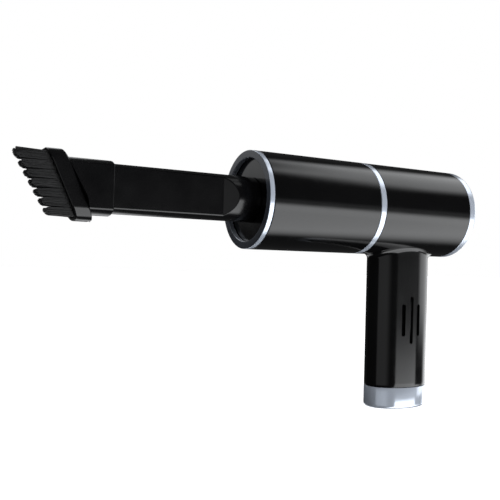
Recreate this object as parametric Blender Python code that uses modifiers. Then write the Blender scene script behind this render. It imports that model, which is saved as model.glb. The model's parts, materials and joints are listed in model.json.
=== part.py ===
"""A cordless handheld vacuum: a round barrel on an upright oval grip, a crevice nozzle and a brush.

Metres, +Z up. The origin is the centre of the grip's flat base. The barrel lies along X and its
nozzle points to -X. A distance called "s" runs back along the barrel from its front face, so
things ahead of the face have a negative s. Heights called "h" are measured from the barrel axis.
"""

import math

import bmesh
import bpy
from mathutils import Matrix

GAP = 0.0003  # clearance between pieces that touch on the real object
STEPS = 40  # sides of a large round shape
SMALL_STEPS = 16  # sides of a small one
CUTTER = 0.1  # reach of a cutter that only has to pass right through

# Barrel
BARREL_RADIUS = 0.031
BARREL_LENGTH = 0.1676
AXIS_HEIGHT = 0.1365
FRONT_X = -0.1237
FRONT_RING_LENGTH = 0.0033
FRONT_RING_BORE = 0.0262
MID_RING_S = 0.0833
MID_RING_LENGTH = 0.0042
REAR_RING_S = 0.1617
REAR_RING_ROUNDING = 0.0018
RING_BORE = 0.0263
SKIRT_RADIUS = 0.0284  # rings' skirts, inside the housing halves
SKIRT_LENGTH = 0.0046
SPIGOT_RADIUS = 0.0287  # mid ring's spigot, inside the dust cup
SPIGOT_LENGTH = 0.0063

# Dust cup and its inlet
CUP_BORE = 0.029
CUP_FRONT_S = FRONT_RING_LENGTH + GAP
CUP_FRONT_WALL = 0.0025
SOCKET_RADIUS = 0.0152
SOCKET_BORE = 0.0132
SOCKET_END_S = 0.020
FLAP_RADIUS = 0.0142
FLAP_THICKNESS = 0.0012
FLAP_HINGE_S = 0.021
FLAP_HINGE_H = 0.0164

# Grip
GRIP_HALF_LENGTH = 0.0242
GRIP_HALF_WIDTH = 0.0161
GRIP_WALL = 0.0023
CAP_HEIGHT = 0.0144
CAP_WALL = 0.0018
CAP_FLOOR = 0.0025
CAP_ROUNDING = 0.0023
TENON_WALL = 0.0018  # the grip's lower end, inside the cap
VENT_WIDTH = 0.0028
VENT_PITCH = 0.0065
VENT_HEIGHT = 0.0606
VENT_LENGTHS = (0.022, 0.0327, 0.022)

# Crevice nozzle
NOZZLE_RADIUS = 0.01425
NOZZLE_HALF_WIDTH = 0.0083
NOZZLE_WALL = 0.0018
NOZZLE_TIP_S = -0.100
NOZZLE_FLAT_END_S = -0.0196
NOZZLE_RAMP_END_S = -0.0115
NOZZLE_TENON_RADIUS = 0.0129
NOZZLE_TENON_BORE = 0.0111

# Brush attachment
SLEEVE_RADIUS = 0.0157
SLEEVE_HALF_WIDTH = 0.0095
SLEEVE_END_S = -0.087
COLLAR_HALF_WIDTH = 0.011
COLLAR_HALF_HEIGHT = 0.0192
COLLAR_ROUNDING = 0.0076
COLLAR_REAR_S = -0.1065
COLLAR_FRONT_S = -0.1158
COLLAR_SLANT = 0.455  # how far the collar leans forward for each unit of height
COLLAR_RIM = 0.0018
COLLAR_RECESS = 0.004
BRISTLE_TIP_S = -0.1305
BRISTLE_TIP_SLANT = 0.56
TUFT_COUNT = 7
TUFT_PITCH = 0.0049
TUFT_HALF_HEIGHT = 0.00205
TUFT_WIDTH = 0.0036
BRISTLE_ROW_Y = 0.0042

# Filter
FILTER_FRONT_S = 0.050
FILTER_FLANGE_S = 0.079
FILTER_RADIUS = 0.019
FILTER_FLANGE_RADIUS = 0.026
FILTER_BORE = 0.0135
PLEAT_COUNT = 20
PLEAT_OUTER = 0.0173
PLEAT_INNER = 0.0141
PLEAT_THICKNESS = 0.0008

# Fan and motor
FAN_S = 0.095
FAN_PLATE_S = 0.103
FAN_RADIUS = 0.0245
FAN_BLADES = 9
EYE_RADIUS = 0.0095
MOTOR_S = 0.109
MOTOR_RADIUS = 0.018
MOTOR_END_S = 0.146
SHAFT_RADIUS = 0.0016
SHAFT_BORE = SHAFT_RADIUS + GAP
BEARING_RADIUS = 0.004

# Battery and controls in the grip
CELL_RADIUS = 0.0091
CELL_X = 0.0096
CELL_BASE = 0.0237
CELL_TOP = 0.0887
PORT_HEIGHT = 0.0183
BUTTON_HEIGHT = 0.0958
BUTTON_HALF_WIDTH = 0.004
BUTTON_HALF_HEIGHT = 0.0048
BUTTON_PROUD = 0.0006
LENS_HEIGHT = 0.084
UPPER_SCREW = (-0.011, 0.097)  # x and z
LOWER_SCREW = (0.0, 0.009)
UPPER_BOSS_REACH = 0.0124
LOWER_BOSS_REACH = 0.0131


def clear_scene():
    for old in list(bpy.data.objects):
        bpy.data.objects.remove(old, do_unlink=True)


def new_collection(name):
    made = bpy.data.collections.new(name)
    bpy.context.scene.collection.children.link(made)
    return made


def finish(name, colour, roughness, metallic=0.0):
    made = bpy.data.materials.new(name)
    made.use_nodes = True
    shader = made.node_tree.nodes["Principled BSDF"]
    shader.inputs["Base Color"].default_value = (*colour, 1.0)
    shader.inputs["Roughness"].default_value = roughness
    shader.inputs["Metallic"].default_value = metallic
    return made


def own(obj, material):
    """Gives the object a material of its own and puts it among the parts."""
    copied = material.copy()
    copied.name = f"{material.name}_{obj.name}"
    obj.data.materials.clear()
    obj.data.materials.append(copied)
    PARTS.objects.link(obj)
    return obj


# Places: each turns a shape's own axes to face the right way


def facing_x(x, z, y=0.0):
    """The shape's X and Y become world Y and Z, and its Z points along +X."""
    turn = Matrix(((0, 0, 1, 0), (1, 0, 0, 0), (0, 1, 0, 0), (0, 0, 0, 1)))
    return Matrix.Translation((x, y, z)) @ turn


def on_barrel(s=0.0):
    return facing_x(FRONT_X + s, AXIS_HEIGHT)


def facing_side(x, y, z):
    """The shape's X and Y become world X and Z, and its Z points along -Y."""
    return Matrix.Translation((x, y, z)) @ Matrix.Rotation(math.pi / 2, 4, "X")


def upright(x=0.0, y=0.0, z=0.0):
    return Matrix.Translation((x, y, z))


# Outlines, as lists of (x, y) points


def arc(radius, start, end, count, centre=(0.0, 0.0)):
    """Points on a circle from one angle to another, in degrees, both ends included."""
    angles = [math.radians(start + (end - start) * i / (count - 1)) for i in range(count)]
    return [(centre[0] + radius * math.cos(a), centre[1] + radius * math.sin(a)) for a in angles]


def circle(radius, count=SMALL_STEPS, centre=(0.0, 0.0)):
    return arc(radius, 0, 360 - 360 / count, count, centre)


def flatted_circle(radius, half_width, count=12):
    """A circle with its two sides, at plus and minus X, cut off flat."""
    edge = math.degrees(math.acos(half_width / radius))
    return arc(radius, edge, 180 - edge, count) + arc(radius, 180 + edge, 360 - edge, count)


def rounded_rectangle(half_x, half_y, radius, count=5):
    corners = [(1, 1, 0), (-1, 1, 90), (-1, -1, 180), (1, -1, 270)]
    points = []
    for side_x, side_y, start in corners:
        centre = (side_x * (half_x - radius), side_y * (half_y - radius))
        points += arc(radius, start, start + 90, count, centre)
    return points


# Shapes


def mesh_object(name, mesh, place):
    obj = bpy.data.objects.new(name, mesh)
    obj.matrix_world = place
    return obj


def turned(name, profile, place, steps=SMALL_STEPS):
    """A profile of (radius, distance along Z) points turned a full circle about Z."""
    following = profile[1:] + profile[:1]
    area = sum(a[0] * b[1] - b[0] * a[1] for a, b in zip(profile, following))
    points = profile if area < 0 else profile[::-1]
    solid = points[0][0] == 0 and points[-1][0] == 0
    edges = [(i, i + 1) for i in range(len(points) - 1)]
    if not solid:
        edges.append((len(points) - 1, 0))
    mesh = bpy.data.meshes.new(name)
    mesh.from_pydata([(radius, 0, along) for radius, along in points], edges, [])
    obj = mesh_object(name, mesh, place)
    screw = obj.modifiers.new("turn", "SCREW")
    screw.steps = screw.render_steps = steps
    screw.use_merge_vertices = True
    screw.merge_threshold = 0.00001
    return obj


def ring(name, inner, outer, s0, s1, steps=SMALL_STEPS):
    """A plain ring on the barrel axis."""
    return turned(name, [(inner, s0), (outer, s0), (outer, s1), (inner, s1)], on_barrel(), steps)


def disc(name, radius, s0, s1, steps=SMALL_STEPS):
    """A plain disc or rod on the barrel axis."""
    return turned(name, [(0, s0), (radius, s0), (radius, s1), (0, s1)], on_barrel(), steps)


def flat_shape(name, outlines, low, high, place):
    """Outlines filled and given thickness from low to high; one inside another is a hole."""
    curve = bpy.data.curves.new(name, "CURVE")
    curve.dimensions = "2D"
    curve.fill_mode = "BOTH"
    curve.extrude = (high - low) / 2
    for outline in outlines:
        spline = curve.splines.new("POLY")
        spline.points.add(len(outline) - 1)
        for point, (x, y) in zip(spline.points, outline):
            point.co = (x, y, 0, 1)
        spline.use_cyclic_u = True
    return as_mesh(mesh_object(name, curve, place @ Matrix.Translation((0, 0, (low + high) / 2))))


def as_mesh(curve_object):
    """The same shape as a mesh object, its caps welded to its sides."""
    name, place, curve = curve_object.name, curve_object.matrix_world.copy(), curve_object.data
    bpy.context.scene.collection.objects.link(curve_object)
    evaluated = curve_object.evaluated_get(bpy.context.evaluated_depsgraph_get())
    mesh = bpy.data.meshes.new_from_object(evaluated)
    bpy.data.objects.remove(curve_object)
    bpy.data.curves.remove(curve)
    welding = bmesh.new()
    welding.from_mesh(mesh)
    bmesh.ops.remove_doubles(welding, verts=welding.verts, dist=0.000001)
    bmesh.ops.recalc_face_normals(welding, faces=welding.faces)
    welding.to_mesh(mesh)
    welding.free()
    mesh.name = name
    return mesh_object(name, mesh, place)


def box(name, low, high):
    """A box between two corners, from a cube primitive."""
    size = [b - a for a, b in zip(low, high)]
    middle = [(a + b) / 2 for a, b in zip(low, high)]
    shape = bmesh.new()
    bmesh.ops.create_cube(shape, size=1.0, matrix=Matrix.Diagonal((*size, 1)))
    mesh = bpy.data.meshes.new(name)
    shape.to_mesh(mesh)
    shape.free()
    return mesh_object(name, mesh, Matrix.Translation(middle))


def around_barrel(piece, degrees):
    """Takes a piece made at the origin, with s along X, to its place round the barrel axis."""
    turn = Matrix.Rotation(math.radians(degrees), 4, "X")
    piece.matrix_world = upright(FRONT_X, 0, AXIS_HEIGHT) @ turn @ piece.matrix_world
    return piece


def oval_stack(name, levels, sides=STEPS):
    """A closed body through ovals of (half length, half width, height), both ends filled."""
    shape = bmesh.new()
    half_x, half_y, z = levels[0]
    place = Matrix.Translation((0, 0, z)) @ Matrix.Diagonal((half_x, half_y, 1, 1))
    made = bmesh.ops.create_circle(shape, segments=sides, radius=1.0, cap_ends=True, matrix=place)
    rim = list({edge for vert in made["verts"] for edge in vert.link_edges})
    for wide, deep, high in levels[1:]:
        grown = bmesh.ops.extrude_edge_only(shape, edges=rim)["geom"]
        verts = [item for item in grown if isinstance(item, bmesh.types.BMVert)]
        rim = [item for item in grown if isinstance(item, bmesh.types.BMEdge)]
        stretch = Matrix.Diagonal((wide / half_x, deep / half_y, 1, 1))
        bmesh.ops.transform(shape, matrix=Matrix.Translation((0, 0, high - z)) @ stretch, verts=verts)
        half_x, half_y, z = wide, deep, high
    bmesh.ops.edgeloop_fill(shape, edges=rim)
    bmesh.ops.recalc_face_normals(shape, faces=shape.faces)
    mesh = bpy.data.meshes.new(name)
    shape.to_mesh(mesh)
    shape.free()
    return mesh_object(name, mesh, Matrix())


def tube(name, points, radius):
    """A round lead through the points, smoothed, with closed ends."""
    curve = bpy.data.curves.new(name, "CURVE")
    curve.dimensions = "3D"
    curve.bevel_depth = radius
    curve.bevel_resolution = 1
    curve.resolution_u = 3
    curve.use_fill_caps = True
    spline = curve.splines.new("BEZIER")
    spline.bezier_points.add(len(points) - 1)
    for knot, point in zip(spline.bezier_points, points):
        knot.co = point
        knot.handle_left_type = knot.handle_right_type = "AUTO"
    return as_mesh(mesh_object(name, curve, Matrix()))


# Joining and cutting


def combine(body, operation, tools):
    for tool in tools:
        if tool.name not in CUTTERS.objects:
            CUTTERS.objects.link(tool)
        tool.hide_render = True
        tool.display_type = "WIRE"
        modifier = body.modifiers.new(f"{operation.lower()}_{tool.name}", "BOOLEAN")
        modifier.operation = operation
        modifier.solver = "EXACT"
        modifier.object = tool
    return body


def cut(body, *tools):
    return combine(body, "DIFFERENCE", tools)


def join(body, *tools):
    return combine(body, "UNION", tools)


def keep_inside(body, *tools):
    return combine(body, "INTERSECT", tools)


# Brush attachment


def slanted(plane_s, h, slant=COLLAR_SLANT):
    """Distance along the barrel of a plane that leans forward with height."""
    return plane_s - slant * h


def slant_cutter(name, plane_s, side):
    """Everything behind (side 1) or ahead (side -1) of a slanted plane."""
    low, high = -2 * COLLAR_HALF_HEIGHT, 2 * COLLAR_HALF_HEIGHT
    far = plane_s + side * CUTTER
    points = [(slanted(plane_s, low), low), (slanted(plane_s, high), high), (far, high), (far, low)]
    return flat_shape(name, [points], -CUTTER / 2, CUTTER / 2, facing_side(FRONT_X, 0, AXIS_HEIGHT))


def brush_head():
    collar = flat_shape(
        "brush_head",
        [rounded_rectangle(COLLAR_HALF_WIDTH, COLLAR_HALF_HEIGHT, COLLAR_ROUNDING)],
        COLLAR_FRONT_S - 0.014,
        COLLAR_REAR_S + 0.014,
        on_barrel(),
    )
    cut(collar, slant_cutter("collar_rear_cut", COLLAR_REAR_S, 1))
    sleeve = flatted_circle(SLEEVE_RADIUS, SLEEVE_HALF_WIDTH)
    join(collar, flat_shape("sleeve_stock", [sleeve], COLLAR_FRONT_S - 0.01, SLEEVE_END_S, on_barrel()))
    cut(collar, slant_cutter("collar_front_cut", COLLAR_FRONT_S, -1))
    recess = flat_shape(
        "bristle_recess",
        [rounded_rectangle(COLLAR_HALF_WIDTH - COLLAR_RIM, COLLAR_HALF_HEIGHT - COLLAR_RIM, 0.0045)],
        COLLAR_FRONT_S - 0.02,
        COLLAR_REAR_S + 0.01,
        on_barrel(),
    )
    cut(recess, slant_cutter("recess_floor", COLLAR_FRONT_S + COLLAR_RECESS, 1))
    socket = flatted_circle(NOZZLE_RADIUS + GAP, NOZZLE_HALF_WIDTH + GAP)
    channel = flatted_circle(NOZZLE_RADIUS - NOZZLE_WALL, NOZZLE_HALF_WIDTH - NOZZLE_WALL)
    mouth = rounded_rectangle(0.0023, 0.0135, 0.0022)
    socket_end, channel_end = NOZZLE_TIP_S - GAP, NOZZLE_TIP_S - 0.004
    cut(
        collar,
        recess,
        flat_shape("brush_socket", [socket], socket_end, SLEEVE_END_S + 0.01, on_barrel()),
        flat_shape("brush_channel", [channel], channel_end, socket_end + 0.001, on_barrel()),
        flat_shape("brush_mouth", [mouth], COLLAR_FRONT_S - 0.02, channel_end + 0.001, on_barrel()),
    )
    return collar


def bristle_row(name, y):
    """One strip of tufts, side by side on a thin root, cut to a slant."""
    root_s = COLLAR_FRONT_S + COLLAR_RECESS - GAP
    web_s = root_s - 0.0015
    reach = (TUFT_COUNT - 1) / 2 * TUFT_PITCH + TUFT_HALF_HEIGHT
    points = [(slanted(root_s, reach), reach), (slanted(root_s, -reach), -reach)]
    for index in range(TUFT_COUNT):
        middle = (index - (TUFT_COUNT - 1) / 2) * TUFT_PITCH
        low, high = middle - TUFT_HALF_HEIGHT, middle + TUFT_HALF_HEIGHT
        tip = [slanted(BRISTLE_TIP_S, h, BRISTLE_TIP_SLANT) for h in (low, high)]
        points += [(slanted(web_s, low), low), (tip[0] + 0.001, low), (tip[0], low + 0.001)]
        points += [(tip[1], high - 0.001), (tip[1] + 0.0015, high), (slanted(web_s, high), high)]
    place = facing_side(FRONT_X, y, AXIS_HEIGHT)
    return flat_shape(name, [points], -TUFT_WIDTH / 2, TUFT_WIDTH / 2, place)


# Crevice nozzle


def nozzle_flats():
    """Cuts the flats of the shank, each ending in a ramp up to the round root."""
    rise = NOZZLE_RADIUS - NOZZLE_HALF_WIDTH
    run = NOZZLE_RAMP_END_S - NOZZLE_FLAT_END_S
    far = NOZZLE_RADIUS + 0.002
    ramp_out = NOZZLE_RAMP_END_S + run * (far - NOZZLE_RADIUS) / rise
    tip = NOZZLE_TIP_S - 0.001
    outline = [(tip, NOZZLE_HALF_WIDTH), (NOZZLE_FLAT_END_S, NOZZLE_HALF_WIDTH), (ramp_out, far), (tip, far)]
    mirrored = [(s, -y) for s, y in outline]
    place = upright(FRONT_X, 0, AXIS_HEIGHT)
    return flat_shape("nozzle_flats", [outline, mirrored], -CUTTER / 4, CUTTER / 4, place)


def crevice_nozzle():
    shoulder, groove, end = FRONT_RING_LENGTH, 0.012, SOCKET_END_S - 0.0006
    groove_radius = NOZZLE_TENON_RADIUS - 0.0009
    profile = [(0, NOZZLE_TIP_S), (NOZZLE_RADIUS, NOZZLE_TIP_S), (NOZZLE_RADIUS, shoulder)]
    profile += [(NOZZLE_TENON_RADIUS, shoulder), (NOZZLE_TENON_RADIUS, groove)]
    profile += [(groove_radius, groove), (groove_radius, groove + 0.0025)]
    profile += [(NOZZLE_TENON_RADIUS, groove + 0.0025), (NOZZLE_TENON_RADIUS, end), (0, end)]
    nozzle = turned("crevice_nozzle", profile, on_barrel(), STEPS)
    channel = flatted_circle(NOZZLE_RADIUS - NOZZLE_WALL, NOZZLE_HALF_WIDTH - NOZZLE_WALL)
    return cut(
        nozzle,
        nozzle_flats(),
        flat_shape("nozzle_channel", [channel], NOZZLE_TIP_S - 0.001, NOZZLE_RAMP_END_S, on_barrel()),
        disc("nozzle_bore", NOZZLE_TENON_BORE, NOZZLE_RAMP_END_S - 0.003, end + 0.001, 32),
    )


# Dust cup


def dust_cup():
    front, inside, rear = CUP_FRONT_S, CUP_FRONT_S + CUP_FRONT_WALL, MID_RING_S - GAP
    profile = [(SOCKET_BORE, front), (BARREL_RADIUS, front), (BARREL_RADIUS, rear), (CUP_BORE, rear)]
    profile += [(CUP_BORE, inside), (SOCKET_RADIUS, inside), (SOCKET_RADIUS, SOCKET_END_S)]
    profile += [(SOCKET_BORE, SOCKET_END_S)]
    cup = turned("dust_cup", profile, on_barrel(), STEPS)
    hinge_x, hinge_z = FRONT_X + FLAP_HINGE_S, AXIS_HEIGHT + FLAP_HINGE_H
    for side, name in ((-1, "ear_left"), (1, "ear_right")):
        inner, outer = sorted((side * 0.0042, side * 0.0066))
        low = (hinge_x - 0.005, inner, hinge_z - 0.0024)
        join(cup, box(name, low, (hinge_x + 0.0014, outer, hinge_z + 0.0018)))
    return cut(cup, flap_knuckle("ear_hole", 0.001, 0.008))


def flap_knuckle(name, radius, reach):
    """A rod on the flap's hinge axis."""
    place = facing_side(FRONT_X + FLAP_HINGE_S, 0, AXIS_HEIGHT + FLAP_HINGE_H)
    return turned(name, [(0, -reach), (radius, -reach), (radius, reach), (0, reach)], place, 12)


def inlet_flap():
    """A disc over the socket's end, hung from a pin above it."""
    front, rear = FLAP_HINGE_S - FLAP_THICKNESS / 2, FLAP_HINGE_S + FLAP_THICKNESS / 2
    flap = disc("inlet_flap", FLAP_RADIUS, front, rear, 32)
    hinge_z = AXIS_HEIGHT + FLAP_HINGE_H
    tab = box("flap_tab", (FRONT_X + front, -0.0035, hinge_z - 0.0045), (FRONT_X + rear, 0.0035, hinge_z))
    join(flap, tab, flap_knuckle("flap_knuckle", 0.0014, 0.0039))
    return cut(flap, flap_knuckle("flap_hole", 0.001, 0.008))


# Filter


def filter_frame():
    flange, cap = FILTER_FLANGE_S, FILTER_FRONT_S
    frame = turned(
        "filter_frame",
        [
            (FILTER_BORE, flange),
            (FILTER_FLANGE_RADIUS, flange),
            (FILTER_FLANGE_RADIUS, flange + 0.004),
            (FILTER_BORE, flange + 0.004),
        ],
        on_barrel(),
        STEPS,
    )
    join(frame, disc("filter_cap", FILTER_RADIUS, cap, cap + 0.0025, 32))
    for index in range(4):
        low, high = (cap + 0.001, -0.0014, 0.0178), (flange + 0.002, 0.0014, FILTER_RADIUS - 0.0004)
        join(frame, around_barrel(box(f"filter_rib_{index}", low, high), 45 + 90 * index))
    tab_x = FRONT_X + cap
    low, high = (tab_x - 0.004, -0.001, AXIS_HEIGHT - 0.003), (tab_x + 0.001, 0.001, AXIS_HEIGHT + 0.003)
    return join(frame, box("filter_tab", low, high))


def filter_media():
    """Paper folded to and fro around the axis, between the cap and the flange."""
    outer, inner = [], []
    for index in range(2 * PLEAT_COUNT):
        angle = math.pi * index / PLEAT_COUNT
        radius = PLEAT_OUTER if index % 2 else PLEAT_INNER
        outer.append((radius * math.cos(angle), radius * math.sin(angle)))
        inside = radius - PLEAT_THICKNESS * 1.8
        inner.append((inside * math.cos(angle), inside * math.sin(angle)))
    low, high = FILTER_FRONT_S + 0.0025 + GAP, FILTER_FLANGE_S - GAP
    return flat_shape("filter_media", [outer, inner], low, high, on_barrel())


def filter_gasket():
    rear = FILTER_FLANGE_S + 0.004
    return ring("filter_gasket", 0.022, FILTER_FLANGE_RADIUS, rear + GAP, rear + 0.0023, 32)


# Rings, guards and the exhaust


def mid_ring():
    front, rear = MID_RING_S, MID_RING_S + MID_RING_LENGTH
    lip = front - SPIGOT_LENGTH
    groove = SPIGOT_RADIUS - 0.0014
    profile = [(RING_BORE, lip), (SPIGOT_RADIUS, lip), (SPIGOT_RADIUS, lip + 0.0018)]
    profile += [(groove, lip + 0.0018), (groove, lip + 0.004), (SPIGOT_RADIUS, lip + 0.004)]
    profile += [(SPIGOT_RADIUS, front), (BARREL_RADIUS, front), (BARREL_RADIUS, rear)]
    profile += [(SKIRT_RADIUS, rear), (SKIRT_RADIUS, rear + SKIRT_LENGTH), (RING_BORE, rear + SKIRT_LENGTH)]
    return turned("mid_ring", profile, on_barrel(), STEPS)


def cup_seal():
    start = MID_RING_S - SPIGOT_LENGTH + 0.0018 + GAP
    return ring("cup_seal", SPIGOT_RADIUS - 0.0011, SPIGOT_RADIUS, start, start + 0.0016, 32)


def rear_ring():
    skirt, front, rear = REAR_RING_S - SKIRT_LENGTH, REAR_RING_S, BARREL_LENGTH
    rounding = REAR_RING_ROUNDING
    corner = arc(rounding, 0, 90, 4, (BARREL_RADIUS - rounding, rear - rounding))
    profile = [(RING_BORE, skirt), (SKIRT_RADIUS, skirt), (SKIRT_RADIUS, front), (BARREL_RADIUS, front)]
    return turned("rear_ring", profile + corner + [(RING_BORE, rear)], on_barrel(), STEPS)


def exhaust_grille():
    """A disc with slots that spread out from its middle."""
    slots = []
    for index in range(16):
        cosine, sine = math.cos(math.pi * index / 8), math.sin(math.pi * index / 8)
        slot = [(x + 0.0155, y) for x, y in rounded_rectangle(0.0062, 0.0012, 0.0011, 2)]
        slots.append([(x * cosine - y * sine, x * sine + y * cosine) for x, y in slot])
    outline = circle(RING_BORE - GAP, STEPS)
    return flat_shape("exhaust_grille", [outline] + slots, 0.163, 0.165, on_barrel())


def intake_guard():
    """The bulkhead behind the filter, with holes for the air."""
    holes = [circle(0.0036, 12)]
    for index in range(8):
        angle = 2 * math.pi * index / 8
        holes.append(circle(0.0036, 12, (0.0125 * math.cos(angle), 0.0125 * math.sin(angle))))
    outline = circle(RING_BORE - GAP, 40)
    return flat_shape("intake_guard", [outline] + holes, 0.0856, 0.0876, on_barrel())


# Fan and motor


def fan_shroud():
    front = FAN_S - 0.0024
    outer = CUP_BORE - 0.0007
    profile = [(EYE_RADIUS, front - 0.0025), (EYE_RADIUS + 0.0015, front - 0.0025)]
    profile += [(EYE_RADIUS + 0.0015, front), (outer, front), (outer, 0.1064), (outer - 0.0015, 0.1064)]
    profile += [(outer - 0.0015, front + 0.0015), (EYE_RADIUS, front + 0.0015)]
    return turned("fan_shroud", profile, on_barrel(), 32)


def impeller():
    """Curved blades that spread out from a hub, on a round back plate."""
    hub, tip, thickness, sweep = 0.0045, FAN_RADIUS, 0.0012, math.radians(55)
    outline = []
    for blade in range(FAN_BLADES):
        root = 2 * math.pi * blade / FAN_BLADES
        rising, falling = [], []
        for step in range(4):
            share = step / 3
            radius = hub + (tip - hub) * share
            angle = root + sweep * share**1.3
            half = thickness / 2 / radius
            rising.append((radius, angle - half))
            falling.append((radius, angle + half))
        outline += rising + falling[::-1]
        outline.append((hub, root + math.pi / FAN_BLADES))
    points = [(radius * math.cos(angle), radius * math.sin(angle)) for radius, angle in outline]
    outlines = [points, circle(SHAFT_BORE)]
    blades = flat_shape("impeller", outlines, FAN_S, FAN_PLATE_S + 0.0003, on_barrel())
    return join(blades, ring("impeller_plate", SHAFT_BORE, tip, FAN_PLATE_S, FAN_PLATE_S + 0.0012, 32))


def impeller_nut():
    hexagon = circle(0.003, 6)
    return flat_shape("impeller_nut", [hexagon, circle(SHAFT_BORE, 12)], 0.0929, FAN_S - GAP, on_barrel())


def motor_bracket():
    """The plate that carries the motor, open round its rim for the air."""
    vents = []
    for index in range(12):
        middle = 360 * index / 12
        outer = arc(0.0262, middle - 11, middle + 11, 4)
        vents.append(outer + arc(0.0205, middle + 11, middle - 11, 4))
    screws = [circle(SHAFT_BORE - 0.0004, 10, (side * 0.012, 0)) for side in (-1, 1)]
    outline = circle(SPIGOT_RADIUS - 0.0004, STEPS)
    holes = [circle(0.0062)] + vents + screws
    return flat_shape("motor_bracket", [outline] + holes, 0.1067, 0.1087, on_barrel())


def motor_screw(name, side):
    profile = [(0, 0.1049), (0.0022, 0.1049), (0.0022, 0.1064)]
    profile += [(0.0011, 0.1064), (0.0011, 0.1122), (0, 0.1122)]
    place = facing_x(FRONT_X, AXIS_HEIGHT, side * 0.012)
    return turned(name, profile, place, 12)


def motor_can():
    front, rear, wall = MOTOR_S, MOTOR_END_S, 0.0013
    seat = BEARING_RADIUS + GAP
    profile = [(seat, front), (MOTOR_RADIUS, front), (MOTOR_RADIUS, rear), (MOTOR_RADIUS - wall, rear)]
    profile += [(MOTOR_RADIUS - wall, front + wall), (seat + wall, front + wall)]
    profile += [(seat + wall, front + 0.0044), (seat, front + 0.0044)]
    can = turned("motor_can", profile, on_barrel(), 24)
    for side, name in ((-1, "can_hole_left"), (1, "can_hole_right")):
        hole = [(0, front - 0.002), (0.0015, front - 0.002), (0.0015, front + 0.004), (0, front + 0.004)]
        cut(can, turned(name, hole, facing_x(FRONT_X, AXIS_HEIGHT, side * 0.012), 10))
    return can


def armature():
    """Slotted iron core on the shaft."""
    outline = []
    for tooth in range(12):
        middle = 30 * tooth
        outline += arc(0.0142, middle - 11, middle + 11, 3)
        outline += arc(0.0095, middle + 12.5, middle + 17.5, 2)
    return flat_shape("armature", [outline, circle(SHAFT_BORE, 16)], 0.1155, 0.1375, on_barrel())


def motor_end_cap():
    front, seat = MOTOR_END_S + GAP, BEARING_RADIUS + GAP
    profile = [(seat, front), (MOTOR_RADIUS, front), (MOTOR_RADIUS, front + 0.003)]
    profile += [(seat + 0.002, front + 0.003), (seat + 0.002, front + 0.0052), (seat, front + 0.0052)]
    return turned("motor_end_cap", profile, on_barrel(), 24)


def carbon_brush(name, side):
    inner, outer = sorted((side * 0.0045, side * 0.0105))
    low = (FRONT_X + 0.140, inner, AXIS_HEIGHT - 0.0017)
    return box(name, low, (FRONT_X + 0.1437, outer, AXIS_HEIGHT + 0.0017))


def motor_rear_mount():
    """A ring round the motor with four arms out to the housing."""
    start, end = 0.134, 0.142
    mount = ring("motor_rear_mount", MOTOR_RADIUS + GAP, MOTOR_RADIUS + 0.0023, start, end, 24)
    for index in range(4):
        low, high = (start, -0.002, 0.0195), (end, 0.002, SPIGOT_RADIUS - 0.0004)
        join(mount, around_barrel(box(f"mount_arm_{index}", low, high), 45 + 90 * index))
    return mount


# Housing halves and the grip


def half_space(name, side):
    """Everything on one side of the seam between the halves."""
    near, far = sorted((side * GAP / 2, side * 0.05))
    return box(name, (-0.1, near, -0.01), (0.1, far, 0.2))


def vent_cutter():
    slots = []
    for index, length in enumerate(VENT_LENGTHS):
        x = (index - 1) * VENT_PITCH
        slot = rounded_rectangle(VENT_WIDTH / 2, length / 2, VENT_WIDTH / 2 - 0.00001, 4)
        slots.append([(x + dx, dz) for dx, dz in slot])
    return slots


def rear_hole(name, outline, height):
    """A cutter through the rear wall of the grip."""
    return flat_shape(name, [outline], 0, 0.02, facing_x(0.015, height))


def from_seam(side, place):
    """At an (x, z) place on the seam, with the shape's Z pointing into the half on this side."""
    x, z = place
    return upright(x, 0, z) @ Matrix.Rotation(-side * math.pi / 2, 4, "X")


def screw_boss(name, side, place, reach):
    """A post from the seam to the wall, for a screw that joins the halves."""
    profile = [(0, GAP / 2), (0.0042, GAP / 2), (0.0042, reach), (0, reach)]
    return turned(name, profile, from_seam(side, place))


def screw_hole(name, side, place):
    """Clearance for the screw: blind on the left, through with a sunk head on the right."""
    left = [(0, -0.001), (0.0014, -0.001), (0.0014, 0.0076), (0, 0.0076)]
    right = [(0, -0.001), (0.0014, -0.001), (0.0014, 0.0086), (0.0029, 0.0086), (0.0029, 0.02), (0, 0.02)]
    return turned(name, left if side < 0 else right, from_seam(side, place))


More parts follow.
